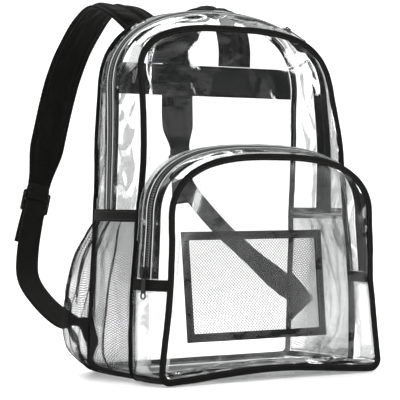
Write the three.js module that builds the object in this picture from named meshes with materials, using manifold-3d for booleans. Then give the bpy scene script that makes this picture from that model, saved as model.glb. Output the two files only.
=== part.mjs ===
// A clear stadium backpack, built panel by panel as it is sewn. Millimetres, +Z up, front towards -Y.
// The origin is the middle of the main compartment's base, on the surface that it stands on.
import * as THREE from 'three';
import { mergeVertices } from 'three/addons/utils/BufferGeometryUtils.js';
import Module from 'manifold-3d';

const wasm = await Module();
wasm.setup();

// Main compartment
const BODY_DEPTH = 124;
const FRONT_HALF_WIDTH = 160;
const MIDDLE_HALF_WIDTH = 157;
const BACK_HALF_WIDTH = 150;
const BODY_SHOULDER = 335;
const BACK_TOP = 440;
const ZIPPER_TOP = 437;
const FRONT_TOP = 418;
const BACK_LEAN = 27;
const FRONT_LEAN = 27;

// Front pocket
const POCKET_DEPTH = 60;
const POCKET_SHOULDER = 180;
const POCKET_HALF_WIDTH = 157;
const POCKET_FRONT_TOP = 262;
const POCKET_ZIPPER_TOP = 270;
const POCKET_REAR_TOP = 277;
const POCKET_ARCH_LIFT = 8;
const PATCH_BOTTOM = 106;
const PATCH_HEIGHT = 13;
const POCKET_ZIPPER_SWELL = 2;

// Film, tape and webbing
const FILM = 1;
const GAP = 0.35;
const BINDING_WIDTH = 8;
const BINDING_THICKNESS = 2.4;
const SEAM_INSET = 5;
const CORNER_RADIUS = 14;
const FLOOR_LIFT = 0.6;
const ZIPPER_TAPE_WIDTH = 12;
const ZIPPER_TAPE_THICKNESS = 1.2;
const COIL_WIDTH = 5;
const COIL_THICKNESS = 2.6;
const BOTTOM_SEAM_RISE = 6.2;
const BOTTOM_SEAM_INSET = 3;
const BOTTOM_EDGE_INSET = 7.5;
const BOTTOM_EDGE_RISE = 3.4;
const SIDE_FOOT = 11;

// Mesh side pockets
const HEM_TOP = 197;
const HEM_HEIGHT = 14;
const HEM_THICKNESS = 1.6;
const MESH_THICKNESS = 1;
const MESH_BULGE = 40;
const MESH_FOOT = 5;
const HEM_OUT = 2.7;
const MESH_EDGE_OUT = 3.4;
const MESH_CLEAR = 3.1;

// Organiser on the front panel, inside the front pocket
const ORGANISER_WIDTH = 200;
const ORGANISER_TOP = 171;
const ORGANISER_FOOT = 41;
const ORGANISER_TAPE = 10;
const ORGANISER_SHIFT_TOP = 8;
const ORGANISER_SHIFT_FOOT = 17;

// Shoulder straps
const YOKE_TOP = 375;
const YOKE_HEIGHT = 38;
const YOKE_THICKNESS = 1.6;
const STRAP_SPACING = 94;
const STRAP_WIDTH = 48;
const STRAP_THICKNESS = 9;
const STRAP_REACH = 143;
const WEBBING_WIDTH = 28;
const WEBBING_THICKNESS = 1.6;
const TAIL_LENGTH = 40;
const TAIL_LIFT = 4;
const STRAP_FOOT = 55;
const LEFT_ANCHOR_HEIGHT = 50;
const RIGHT_ANCHOR_HEIGHT = 90;
const ANCHOR_CUT = 30;
const TAB_DROP = 10;
const TAB_LENGTH = 34;
const TAB_SPAN = 62;
const TAB_THICKNESS = 1.2;
const LOCK_WIDTH = 37;
const LOCK_LENGTH = 27;
const LOCK_THICKNESS = 3.2;
const LOCK_CORNER = 2.5;
const LOCK_TURN_RADIUS = 3.8;
const STRAP_END_WIDTH = 31;
const STRAP_END_THICKNESS = 3.4;
const LOCK_LEAD = 10;
const TAB_POINT = 6;

// Zip sliders and pulls
const SLIDER_WIDTH = 9;
const SLIDER_LENGTH = 12;
const SLIDER_THICKNESS = 2.4;
const SLIDER_CORNER = 2.5;
const BRIDGE_WIDTH = 2.2;
const BRIDGE_LENGTH = 7;
const BRIDGE_OPENING = 2.6;
const BRIDGE_BAR = 1.2;
const PULL_LENGTH = 31;
const PULL_THICKNESS = 1.3;
const PULL_EYE_RADIUS = 4.2;
const PULL_EYE_HOLE = 2.8;
const PULL_HALF_WIDTH = 3.2;
const PULL_BAR = 1.4;
const MAIN_SLIDER_PLACE = 0.645;
const POCKET_SLIDER_PLACE = 0.021;

// Half widths of the seams up the sides, as shares of the half widths at the base.
const SIDE_ROWS = [
  { up: 0, front: 1, middle: 1, back: 1, pocket: 1 },
  { up: 0.3, front: 1, middle: 1, back: 1, pocket: 0.96 },
  { up: 0.6, front: 0.94, middle: 0.99, back: 0.985, pocket: 0.925 },
  { up: 0.8, front: 0.905, middle: 0.985, back: 0.99, pocket: 0.915 },
  { up: 1, front: 0.875, middle: 0.97, back: 0.975, pocket: 0.91 },
];

// Folds pressed into the front panel and the pocket front: where, how far they reach, and how deep.
const FRONT_FOLDS = [
  { across: 0.06, up: 0.93, wide: 0.09, high: 0.07, deep: 9 },
  { across: 0.24, up: 0.9, wide: 0.1, high: 0.05, deep: -5 },
  { across: 0.7, up: 0.88, wide: 0.16, high: 0.06, deep: -3 },
  { across: 0.97, up: 0.9, wide: 0.06, high: 0.1, deep: 4 },
];
const POCKET_FOLDS = [
  { across: 0.08, up: 0.8, wide: 0.08, high: 0.12, deep: 5 },
  { across: 0.5, up: 0.5, wide: 0.4, high: 0.4, deep: -4 },
  { across: 0.93, up: 0.75, wide: 0.08, high: 0.14, deep: 3 },
  { across: 0.3, up: 0.06, wide: 0.25, high: 0.05, deep: -3 },
];

// The mesh pockets' outline from back to front, and from foot to hem, as shares of the bulge.
const MESH_PLAN_ROWS = [
  { along: 0, out: 0 },
  { along: 0.04, out: 0.72 },
  { along: 0.13, out: 1 },
  { along: 0.35, out: 0.9 },
  { along: 0.65, out: 0.62 },
  { along: 0.88, out: 0.34 },
  { along: 1, out: 0 },
];
const MESH_RISE_ROWS = [
  { up: 0, out: 0.1 },
  { up: 0.07, out: 0.5 },
  { up: 0.16, out: 0.86 },
  { up: 0.36, out: 1 },
  { up: 0.6, out: 0.8 },
  { up: 0.78, out: 0.58 },
  { up: 0.93, out: 0.2 },
  { up: 1, out: 0 },
];
// Gathers in the mesh: their place at the foot and at the hem, counted from the back, and how deep.
const MESH_GATHERS = [
  { foot: 0.2, hem: 0.36, deep: 6, width: 0.035 },
  { foot: 0.36, hem: 0.6, deep: 6, width: 0.035 },
  { foot: 0.7, hem: 0.85, deep: 4, width: 0.03 },
];

// The strap pads' routes: out is the share of the way from the yoke place to the side, behind the share
// of the reach, up the share of the yoke's height above the anchor. turn and tilt are the width's lie.
const LEFT_STRAP_ROWS = [
  { out: 0.02, behind: 0.047, up: 1.005, turn: 0, tilt: 0 },
  { out: 0.024, behind: 0.05, up: 1.03, turn: 0, tilt: 0 },
  { out: 0.12, behind: 0.06, up: 1.085, turn: 0, tilt: -8 },
  { out: 0.3, behind: 0.13, up: 1.15, turn: 0, tilt: -14 },
  { out: 0.45, behind: 0.28, up: 1.207, turn: 0, tilt: -8 },
  { out: 0.52, behind: 0.494, up: 1.23, turn: 0, tilt: -2 },
  { out: 0.545, behind: 0.732, up: 1.185, turn: 0, tilt: 3 },
  { out: 0.63, behind: 0.926, up: 1.074, turn: 0, tilt: 3 },
  { out: 0.735, behind: 0.968, up: 0.969, turn: 0, tilt: 2 },
  { out: 0.83, behind: 0.955, up: 0.869, turn: 0, tilt: 2 },
  { out: 0.985, behind: 0.91, up: 0.68, turn: 0, tilt: 2 },
  { out: 1.1, behind: 0.88, up: 0.53, turn: 2, tilt: 4 },
];
const RIGHT_STRAP_ROWS = [
  { out: 0.05, behind: 0.045, up: 1.003, turn: 0, tilt: 0 },
  { out: 0.05, behind: 0.055, up: 1.08, turn: 0, tilt: 0 },
  { out: 0.045, behind: 0.14, up: 1.17, turn: 0, tilt: 0 },
  { out: 0.035, behind: 0.34, up: 1.235, turn: 0, tilt: 0 },
  { out: 0.025, behind: 0.62, up: 1.24, turn: 0, tilt: 0 },
  { out: 0.02, behind: 0.87, up: 1.18, turn: 0, tilt: 0 },
  { out: 0.02, behind: 0.98, up: 1.07, turn: 0, tilt: 0 },
  { out: 0.03, behind: 1, up: 0.93, turn: 0, tilt: 0 },
  { out: 0.04, behind: 0.99, up: 0.8, turn: 0, tilt: 0 },
  { out: 0.07, behind: 0.97, up: 0.69, turn: -3, tilt: -2 },
];
// The webbings' routes from the ladder lock to the foot of the back seam, on the same shares.
const LEFT_WEBBING_ROWS = [
  { out: 1.28, behind: 0.8, up: 0.27, turn: 12, tilt: 2 },
  { out: 1.33, behind: 0.7, up: 0.17, turn: 16, tilt: 0 },
  { out: 1.27, behind: 0.52, up: 0.09, turn: 4, tilt: -16 },
  { out: 1.14, behind: 0.28, up: 0.02, turn: -30, tilt: -40 },
];
const RIGHT_WEBBING_ROWS = [
  { out: 0.31, behind: 0.59, up: 0.385, turn: -18, tilt: -30 },
  { out: 0.65, behind: 0.32, up: 0.24, turn: -34, tilt: -42 },
];

// Steps along and across the meshes
const CORNER_STEPS = 2;
const FOOT_STEPS = 3;
const LEG_STEPS = 5;
const HIP_STEPS = 5;
const CROWN_STEPS = 10;
const BOTTOM_STEPS = CROWN_STEPS - 2 * CORNER_STEPS;
const ARCH_STEPS = 2 * HIP_STEPS + CROWN_STEPS;
const STRAP_STEPS = 20;
const WEBBING_STEPS = 12;

const finishes = {
  film: { color: '#f3f4f4', roughness: 0.12, metalness: 0, transparent: true, opacity: 0.3 },
  tape: { color: '#191917', roughness: 0.8, metalness: 0 },
  mesh: { color: '#2b2b29', roughness: 0.85, metalness: 0 },
  padding: { color: '#171714', roughness: 0.9, metalness: 0 },
  plastic: { color: '#111110', roughness: 0.4, metalness: 0 },
  enamel: { color: '#1c1c1b', roughness: 0.35, metalness: 0.6 },
};

const bag = new THREE.Group();

function add(name, geometry, finish, parent = bag) {
  const mesh = new THREE.Mesh(geometry, new THREE.MeshStandardMaterial(finishes[finish]));
  mesh.name = name;
  parent.add(mesh);
  return mesh;
}

const mix = THREE.MathUtils.lerp;

function ease(share) {
  const s = THREE.MathUtils.clamp(share, 0, 1);
  return s * s * (3 - 2 * s);
}

// Reads a column of a table at a place between its rows, with a smooth curve through them.
function readRow(rows, key, place, column) {
  let i = 0;
  while (i < rows.length - 2 && rows[i + 1][key] < place) i += 1;
  const a = rows[i];
  const b = rows[i + 1];
  const span = b[key] - a[key];
  const before = rows[Math.max(i - 1, 0)];
  const after = rows[Math.min(i + 2, rows.length - 1)];
  const slopeA = (b[column] - before[column]) / (b[key] - before[key]);
  const slopeB = (after[column] - a[column]) / (after[key] - a[key]);
  const s = THREE.MathUtils.clamp((place - a[key]) / span, 0, 1);
  const rise = s * s * (3 - 2 * s);
  const bend = s * (1 - s);
  return mix(a[column], b[column], rise) + span * bend * (slopeA * (1 - s) - slopeB * s);
}

function foldDepth(folds, across, up) {
  let depth = 0;
  for (const fold of folds) {
    const x = (across - fold.across) / fold.wide;
    const z = (up - fold.up) / fold.high;
    depth += fold.deep * Math.exp(-x * x - z * z);
  }
  return depth;
}

// A closed solid from a grid of points, given a thickness across the surface. The grid may close on itself.
function wall(grid, thickness, closed = false) {
  const rows = grid.length;
  const cols = grid[0].length;
  const thick = typeof thickness === 'function' ? thickness : () => thickness;
  const positions = [];
  const index = [];
  const pick = (i, j) => {
    const row = closed ? (i + rows) % rows : THREE.MathUtils.clamp(i, 0, rows - 1);
    return grid[row][THREE.MathUtils.clamp(j, 0, cols - 1)];
  };
  for (const side of [1, -1]) {
    for (let i = 0; i < rows; i += 1) {
      for (let j = 0; j < cols; j += 1) {
        const along = pick(i + 1, j).clone().sub(pick(i - 1, j));
        const across = pick(i, j + 1).clone().sub(pick(i, j - 1));
        const normal = along.cross(across).normalize();
        const point = grid[i][j].clone().addScaledVector(normal, (side * thick(i, j)) / 2);
        positions.push(point.x, point.y, point.z);
      }
    }
  }
  const count = rows * cols;
  const face = (a, b, c, d) => index.push(a, b, c, a, c, d);
  const lastRow = closed ? rows : rows - 1;
  for (let i = 0; i < lastRow; i += 1) {
    const next = (i + 1) % rows;
    for (let j = 0; j < cols - 1; j += 1) {
      const a = i * cols + j;
      const b = next * cols + j;
      face(a, b, b + 1, a + 1);
      face(count + a, count + a + 1, count + b + 1, count + b);
    }
    const end = cols - 1;
    face(i * cols, count + i * cols, count + next * cols, next * cols);
    face(i * cols + end, next * cols + end, count + next * cols + end, count + i * cols + end);
  }
  if (!closed) {
    const last = (rows - 1) * cols;
    for (let j = 0; j < cols - 1; j += 1) {
      face(j, j + 1, count + j + 1, count + j);
      face(last + j, count + last + j, count + last + j + 1, last + j + 1);
    }
  }
  return facingOut(positions, index);
}

function facingOut(positions, index) {
  const at = (k) => new THREE.Vector3().fromArray(positions, 3 * k);
  let volume = 0;
  for (let i = 0; i < index.length; i += 3) {
    volume += at(index[i]).dot(at(index[i + 1]).cross(at(index[i + 2])));
  }
  if (volume < 0) index.reverse();
  const geometry = new THREE.BufferGeometry();
  geometry.setAttribute('position', new THREE.Float32BufferAttribute(positions, 3));
  geometry.setIndex(index);
  geometry.computeVertexNormals();
  return geometry;
}

function grid(rows, cols, at) {
  return Array.from({ length: rows + 1 }, (_, i) => (
    Array.from({ length: cols + 1 }, (_, j) => at(i / rows, j / cols))
  ));
}

// Seam outlines. Each guide gives a seam's half width up the legs, its arch, and its depth in Y.
function bodyLeanFront(z) {
  return FRONT_LEAN * ease((z / FRONT_TOP - 0.62) / 0.38);
}

function backY(z) {
  return BODY_DEPTH / 2 - (BACK_LEAN * z) / BACK_TOP;
}

function frontY(z) {
  return -BODY_DEPTH / 2 + bodyLeanFront(z);
}

function guide(column, base, cut, shoulder, top, power, depthAt) {
  return {
    cut,
    shoulder,
    top,
    power,
    depthAt,
    half: (z) => base * readRow(SIDE_ROWS, 'up', z / shoulder, column),
  };
}

const HEM_MIDDLE = HEM_TOP - HEM_HEIGHT / 2;
const frontSeam = guide('front', FRONT_HALF_WIDTH, HEM_MIDDLE, BODY_SHOULDER, FRONT_TOP, 3, frontY);
const middleSeam = guide('middle', MIDDLE_HALF_WIDTH, HEM_MIDDLE, BODY_SHOULDER, ZIPPER_TOP, 2.3, () => 0);
const backSeam = guide('back', BACK_HALF_WIDTH, HEM_MIDDLE, BODY_SHOULDER, BACK_TOP, 2.5, backY);

const POCKET_REAR_Y = -BODY_DEPTH / 2 - BINDING_THICKNESS / 2 - 2 * GAP;
const POCKET_FRONT_Y = -BODY_DEPTH / 2 - POCKET_DEPTH;
const PATCH_TOP = PATCH_BOTTOM + PATCH_HEIGHT;
const pocketGuide = (top, depthAt) => (
  guide('pocket', POCKET_HALF_WIDTH, PATCH_TOP, POCKET_SHOULDER, top, 2.7, depthAt)
);
const pocketSeam = pocketGuide(POCKET_FRONT_TOP, () => POCKET_FRONT_Y);
const pocketMiddle = pocketGuide(POCKET_ZIPPER_TOP, () => 0);
pocketMiddle.half = (z) => (pocketSeam.half(z) + frontSeam.half(z)) / 2 + POCKET_ZIPPER_SWELL;
const pocketRear = pocketGuide(POCKET_REAR_TOP, () => POCKET_REAR_Y);
pocketRear.half = (z) => frontSeam.half(z);

// A point of a seam's outline above its cut: up the left leg, over the arch and down the right leg as t
// goes from 0 to 1. The legs and the arch take shares of t that match their steps.
const LEG_SHARE = LEG_STEPS / (2 * LEG_STEPS + ARCH_STEPS);

function outlineAt(seam, t, cut, inset) {
  const side = t < 0.5 ? -1 : 1;
  const climb = t < 0.5 ? t : 1 - t;
  if (climb < LEG_SHARE) {
    const z = mix(cut, seam.shoulder, climb / LEG_SHARE);
    return new THREE.Vector2(side * (seam.half(z) - inset), z);
  }
  const angle = (Math.PI / 2) * ((climb - LEG_SHARE) / (0.5 - LEG_SHARE));
  const wide = seam.half(seam.shoulder) - inset;
  const high = seam.top - seam.shoulder - inset;
  const cos = Math.abs(Math.cos(angle));
  const sin = Math.abs(Math.sin(angle));
  const reach = (cos ** seam.power + sin ** seam.power) ** (-1 / seam.power);
  return new THREE.Vector2(side * wide * cos * reach, seam.shoulder + high * sin * reach);
}

// The closed outline of a panel, from the middle of its lower left corner round to the left again.
function closedOutline(seam, lift) {
  const legFoot = FLOOR_LIFT + CORNER_RADIUS;
  const foot = seam.half(legFoot) - CORNER_RADIUS;
  const corner = (side, degrees) => {
    const angle = THREE.MathUtils.degToRad(degrees);
    const x = side * (foot + Math.cos(angle) * CORNER_RADIUS);
    return new THREE.Vector2(x, legFoot + Math.sin(angle) * CORNER_RADIUS);
  };
  const half = [];
  for (let i = 0; i < CORNER_STEPS; i += 1) half.push(corner(-1, mix(-45, 0, i / CORNER_STEPS)));
  for (let i = 0; i < FOOT_STEPS; i += 1) {
    const z = mix(legFoot, seam.cut, i / FOOT_STEPS);
    half.push(new THREE.Vector2(-seam.half(z), z));
  }
  const total = 2 * LEG_STEPS + ARCH_STEPS;
  const over = Array.from({ length: total + 1 }, (_, i) => outlineAt(seam, i / total, seam.cut, 0));
  const mirrored = half.map((p) => new THREE.Vector2(-p.x, p.y)).reverse();
  const lowRight = Array.from({ length: CORNER_STEPS - 1 }, (_, i) => (
    corner(1, mix(-45, -90, (i + 1) / CORNER_STEPS))
  ));
  const bottom = Array.from({ length: BOTTOM_STEPS + 1 }, (_, i) => {
    const share = i / BOTTOM_STEPS;
    const arch = lift * Math.sin(Math.PI * share) ** 1.5;
    return new THREE.Vector2(mix(foot, -foot, share), FLOOR_LIFT + arch);
  });
  const lowLeft = lowRight.map((p) => new THREE.Vector2(-p.x, p.y)).reverse();
  return [...half, ...over, ...mirrored, ...lowRight, ...bottom, ...lowLeft];
}

// Moves each point of a closed outline inwards, square to the outline.
function insetOutline(points, inset) {
  return points.map((point, i) => {
    const before = points[(i + points.length - 1) % points.length];
    const after = points[(i + 1) % points.length];
    const along = after.clone().sub(before).normalize();
    return new THREE.Vector2(point.x + along.y * inset, point.y - along.x * inset);
  });
}

function binding(seam, lift) {
  const outer = closedOutline(seam, lift);
  const inner = insetOutline(outer, BINDING_WIDTH);
  const rows = outer.map((point, i) => [point, inner[i]].map((p) => (
    new THREE.Vector3(p.x, seam.depthAt(p.y), p.y)
  )));
  return wall(rows, BINDING_THICKNESS, true);
}

// A panel filling a closed outline, blended from its four sides, with its folds pressed in along Y.
function panel(seam, lift, folds, outward, keepFlat) {
  const loop = insetOutline(closedOutline(seam, lift), BINDING_WIDTH + 2 * GAP);
  const sideSteps = CORNER_STEPS + FOOT_STEPS + LEG_STEPS + HIP_STEPS;
  const left = loop.slice(0, sideSteps + 1);
  const top = loop.slice(sideSteps, sideSteps + CROWN_STEPS + 1);
  const right = loop.slice(sideSteps + CROWN_STEPS, 2 * sideSteps + CROWN_STEPS + 1).reverse();
  const bottom = [...loop.slice(2 * sideSteps + CROWN_STEPS), loop[0]].reverse();
  const rows = left.map((_, j) => {
    const v = j / sideSteps;
    return bottom.map((_, i) => {
      const u = i / CROWN_STEPS;
      const sides = left[j].clone().lerp(right[j], u);
      const ends = bottom[i].clone().lerp(top[i], v);
      const low = left[0].clone().lerp(right[0], u);
      const high = left[sideSteps].clone().lerp(right[sideSteps], u);
      const flat = sides.add(ends).sub(low.lerp(high, v));
      const up = flat.y / seam.top;
      const edge = Math.min(1, 8 * Math.min(u, 1 - u), 8 * Math.min(v, 1 - v));
      const press = keepFlat(flat) ? 0 : ease(edge) * foldDepth(folds, u, up);
      return new THREE.Vector3(flat.x, seam.depthAt(flat.y) - outward * press, flat.y);
    });
  });
  return wall(rows, FILM);
}

// A gusset runs between two seams and swells to a middle one. across is 0 at the front, 1 at the rear.
function makeGusset(front, middle, rear, inset, rearInset) {
  const curve = (seam, t, offset) => {
    const p = outlineAt(seam, t, seam.cut + GAP, offset);
    return new THREE.Vector3(p.x, seam.depthAt(p.y), p.y);
  };
  const ribs = (t) => {
    const a = curve(front, t, inset);
    const c = curve(rear, t, rearInset);
    const b = curve(middle, t, 0);
    b.y = (a.y + c.y) / 2;
    return [a, b, c];
  };
  const at = (t, v) => {
    const [a, b, c] = ribs(t);
    const point = a.multiplyScalar((1 - v) * (1 - 2 * v));
    return point.addScaledVector(b, 4 * v * (1 - v)).addScaledVector(c, v * (2 * v - 1));
  };
  const depth = (t) => {
    const [a, , c] = ribs(t);
    return c.y - a.y;
  };
  return { at, depth };
}

// A strip of a gusset between two places across it, each given in millimetres by a function of depth.
function gussetStrip(gusset, from, to, thickness, cols) {
  const rows = grid(2 * LEG_STEPS + ARCH_STEPS, cols, (t, s) => {
    const depth = gusset.depth(t);
    return gusset.at(t, mix(from(depth), to(depth), s) / depth);
  });
  return wall(rows, thickness);
}

const SEAM_CLEAR = BINDING_THICKNESS / 2 + 2 * GAP;

function addZipperGusset(names, gusset, clearFront, clearRear) {
  const coil = COIL_WIDTH / 2;
  const tape = coil + GAP + ZIPPER_TAPE_WIDTH;
  const strips = [
    [names[0], () => clearFront, (d) => d / 2 - tape - GAP, FILM, 2, 'film'],
    [names[1], (d) => d / 2 - tape, (d) => d / 2 - coil - GAP, ZIPPER_TAPE_THICKNESS, 1, 'tape'],
    [names[2], (d) => d / 2 - coil, (d) => d / 2 + coil, COIL_THICKNESS, 1, 'plastic'],
    [names[3], (d) => d / 2 + coil + GAP, (d) => d / 2 + tape, ZIPPER_TAPE_THICKNESS, 1, 'tape'],
    [names[4], (d) => d / 2 + tape + GAP, (d) => d - clearRear, FILM, 2, 'film'],
  ];
  for (const [name, from, to, thickness, cols, finish] of strips) {
    add(name, gussetStrip(gusset, from, to, thickness, cols), finish);
  }
}

// The side walls below the zip, under the mesh pockets and beside the front pocket.
function sideSurface(front, middle, rear, inset, rearInset) {
  return (side, z, v) => {
    const a = front.half(z) - inset;
    const b = middle.half(z);
    const c = rear.half(z) - rearInset;
    const out = a * (1 - v) * (1 - 2 * v) + b * 4 * v * (1 - v) + c * v * (2 * v - 1);
    const y = mix(front.depthAt(z), rear.depthAt(z), v);
    return new THREE.Vector3(side * out, y, z);
  };
}

const bodySide = sideSurface(frontSeam, middleSeam, backSeam, SEAM_INSET, SEAM_INSET);
const pocketSide = sideSurface(pocketSeam, pocketMiddle, pocketRear, SEAM_INSET, BINDING_WIDTH / 2);

// A place off a side wall, along the square to its surface there.
function offSide(surface, side, z, v, distance) {
  const place = surface(side, z, v);
  const rearwards = surface(side, z, v + 0.01).sub(surface(side, z, v - 0.01));
  const upwards = surface(side, z + 1, v).sub(surface(side, z - 1, v));
  const out = rearwards.cross(upwards).normalize();
  return place.addScaledVector(out, out.x * side < 0 ? -distance : distance);
}

// A place across a side wall, kept clear of the seams in front of it and behind it.
function clearOf(surface, z, clearFront, clearRear, share) {
  const depth = surface(1, z, 1).y - surface(1, z, 0).y;
  return mix(clearFront / depth, 1 - clearRear / depth, share);
}

function sideWall(surface, side, low, high, clearFront, clearRear, thickness, rows, cols, out = 0) {
  const cells = grid(rows, cols, (h, s) => {
    const z = mix(low, high, h);
    const point = surface(side, z, clearOf(surface, z, clearFront, clearRear, s));
    point.x += side * out;
    return point;
  });
  return wall(cells, thickness);
}

// The tape over the seam between a side and the bottom, set across the corner.
function bottomBinding(surface, side, clearFront, clearRear) {
  const half = (BINDING_WIDTH * Math.SQRT1_2) / 2;
  const rows = grid(6, 1, (s, w) => {
    const v = clearOf(surface, BOTTOM_SEAM_RISE, clearFront, clearRear, s);
    const point = surface(side, BOTTOM_SEAM_RISE, v);
    point.x += side * (mix(-half, half, w) - BOTTOM_SEAM_INSET);
    point.z += mix(-half, half, w);
    return point;
  });
  return wall(rows, BINDING_THICKNESS);
}

// A bottom panel: flat on the floor in its middle, and rising to the seams round it.
function bottomPanel(surface, clearFront, clearRear, frontLift) {
  const places = [0, 0.08, 0.16, 0.5, 0.84, 0.92, 1];
  const rise = (s) => 1 - ease(Math.min(s, 1 - s) / 0.16);
  const rows = places.map((u) => [0, 0.14, 0.28, 0.72, 0.86, 1].map((s) => {
    const edge = surface(1, BOTTOM_SEAM_RISE, clearOf(surface, BOTTOM_SEAM_RISE, clearFront, clearRear, s));
    const half = edge.x - BOTTOM_EDGE_INSET;
    const seamHeight = BOTTOM_EDGE_RISE + frontLift * (1 - s) * Math.sin(Math.PI * u) ** 1.5;
    const climb = Math.max(rise(u) * 0.6, rise(s));
    return new THREE.Vector3(mix(-half, half, u), edge.y, FILM / 2 + seamHeight * climb * 0.9);
  }));
  return wall(rows, FILM);
}

// Main compartment
const keepPocketFlat = (point) => point.y < POCKET_REAR_TOP + 2 * BINDING_WIDTH;
add('back_panel', panel(backSeam, 0, [], 1, () => true), 'film');
add('back_binding', binding(backSeam, 0), 'tape');
add('front_panel', panel(frontSeam, 0, FRONT_FOLDS, -1, keepPocketFlat), 'film');
add('front_binding', binding(frontSeam, 0), 'tape');
add('bottom_panel', bottomPanel(bodySide, SEAM_CLEAR, SEAM_CLEAR, 0), 'film');

const bodyGusset = makeGusset(frontSeam, middleSeam, backSeam, SEAM_INSET, SEAM_INSET);
const bodyStrips = ['gusset_front_strip', 'main_zipper_front_tape', 'main_zipper_coil',
  'main_zipper_back_tape', 'gusset_back_strip'];
addZipperGusset(bodyStrips, bodyGusset, SEAM_CLEAR, SEAM_CLEAR);

for (const [label, side] of [['left_', -1], ['right_', 1]]) {
  const low = SIDE_FOOT;
  add(`${label}side_panel`, sideWall(bodySide, side, low, HEM_MIDDLE, SEAM_CLEAR, SEAM_CLEAR, FILM,
    5, 8), 'film');
  add(`${label}bottom_binding`, bottomBinding(bodySide, side, SEAM_CLEAR, SEAM_CLEAR), 'tape');
}

// Front pocket
add('pocket_front_panel', panel(pocketSeam, POCKET_ARCH_LIFT, POCKET_FOLDS, 1, () => false), 'film');
add('pocket_binding', binding(pocketSeam, POCKET_ARCH_LIFT), 'tape');
add('pocket_bottom_panel', bottomPanel(pocketSide, SEAM_CLEAR, GAP, POCKET_ARCH_LIFT), 'film');

const pocketGusset = makeGusset(pocketSeam, pocketMiddle, pocketRear, SEAM_INSET, BINDING_WIDTH / 2);
const pocketStrips = ['pocket_front_strip', 'pocket_zipper_front_tape', 'pocket_zipper_coil',
  'pocket_zipper_rear_tape', 'pocket_rear_strip'];
addZipperGusset(pocketStrips, pocketGusset, SEAM_CLEAR, 0);

for (const [label, side] of [['left', -1], ['right', 1]]) {
  const wallOf = (low, high, thickness, rows, cols) => sideWall(pocketSide, side, low, high, SEAM_CLEAR, 0,
    thickness, rows, cols);
  add(`pocket_${label}_side_panel`, wallOf(SIDE_FOOT, PATCH_BOTTOM - GAP, FILM, 4, 3), 'film');
  add(`pocket_${label}_end_patch`, wallOf(PATCH_BOTTOM, PATCH_TOP, ZIPPER_TAPE_THICKNESS, 1, 3), 'tape');
  add(`pocket_${label}_bottom_binding`, bottomBinding(pocketSide, side, SEAM_CLEAR, GAP), 'tape');
}

// The organiser: a flat mesh pocket in a tape frame, on the front panel inside the front pocket.
function organiserPoint(u, v, inset, y) {
  const z = mix(ORGANISER_FOOT + inset, ORGANISER_TOP - inset, v);
  const share = (z - ORGANISER_FOOT) / (ORGANISER_TOP - ORGANISER_FOOT);
  const half = ORGANISER_WIDTH / 2 - inset;
  const shift = mix(ORGANISER_SHIFT_FOOT, ORGANISER_SHIFT_TOP, share);
  return new THREE.Vector3(shift + mix(-half, half, u), y, z);
}

function organiserFrame(y) {
  const corners = [[0, 0], [0, 1], [1, 1], [1, 0]];
  const rows = [];
  corners.forEach(([u, v], k) => {
    const [nextU, nextV] = corners[(k + 1) % 4];
    for (let i = 0; i < 4; i += 1) {
      const a = mix(u, nextU, i / 4);
      const b = mix(v, nextV, i / 4);
      rows.push([organiserPoint(a, b, 0, y), organiserPoint(a, b, ORGANISER_TAPE, y)]);
    }
  });
  return wall(rows, ZIPPER_TAPE_THICKNESS, true);
}

const ORGANISER_Y = -BODY_DEPTH / 2 - FILM / 2 - GAP - ZIPPER_TAPE_THICKNESS / 2;
add('organiser_binding', organiserFrame(ORGANISER_Y), 'tape');
add('organiser_mesh', wall(grid(4, 6, (v, u) => (
  organiserPoint(u, v, ORGANISER_TAPE + GAP, ORGANISER_Y)
)), MESH_THICKNESS), 'mesh');

// Mesh side pockets, which hang out from the side walls and gather under an elastic hem.
function meshPocket(side) {
  const top = HEM_TOP - HEM_HEIGHT - GAP;
  const cells = grid(9, 16, (h, s) => {
    const z = mix(MESH_FOOT, top, h);
    const point = bodySide(side, z, clearOf(bodySide, z, MESH_CLEAR, MESH_CLEAR, 1 - s));
    const plan = readRow(MESH_PLAN_ROWS, 'along', s, 'out');
    const bulge = MESH_BULGE * plan * readRow(MESH_RISE_ROWS, 'up', h, 'out');
    let gather = 0;
    for (const row of MESH_GATHERS) {
      const place = (s - mix(row.foot, row.hem, h)) / row.width;
      gather += row.deep * Math.exp(-place * place) * Math.sin(Math.PI * h);
    }
    const seat = mix(MESH_EDGE_OUT, HEM_OUT, h ** 4);
    point.x += side * (seat + Math.max(bulge - Math.min(gather, bulge), 0));
    return point;
  });
  return wall(cells, MESH_THICKNESS);
}

for (const [label, side] of [['left_', -1], ['right_', 1]]) {
  add(`${label}mesh_pocket`, meshPocket(side), 'mesh');
  add(`${label}mesh_hem`, sideWall(bodySide, side, HEM_TOP - HEM_HEIGHT, HEM_TOP, SEAM_CLEAR, SEAM_CLEAR,
    HEM_THICKNESS, 1, 8, HEM_OUT), 'tape');
}

// The yoke band lies on the back panel between the seams and holds the strap pads' roots.
function yokeBand() {
  const out = FILM / 2 + GAP + YOKE_THICKNESS / 2;
  return wall(grid(2, 8, (h, u) => {
    const z = mix(YOKE_TOP - YOKE_HEIGHT, YOKE_TOP, h);
    const half = halfAtHeight(backSeam, z, BINDING_WIDTH + 2 * GAP);
    return new THREE.Vector3(mix(-half, half, u), backY(z) + out, z);
  }), YOKE_THICKNESS);
}

// Half the width inside a seam at a height, on its legs or in its arch.
function halfAtHeight(seam, z, inset) {
  if (z < seam.shoulder) return seam.half(z) - inset;
  const share = (z - seam.shoulder) / (seam.top - seam.shoulder - inset);
  return (seam.half(seam.shoulder) - inset) * (1 - share ** seam.power) ** (1 / seam.power);
}

add('yoke_band', yokeBand(), 'tape');

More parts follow.
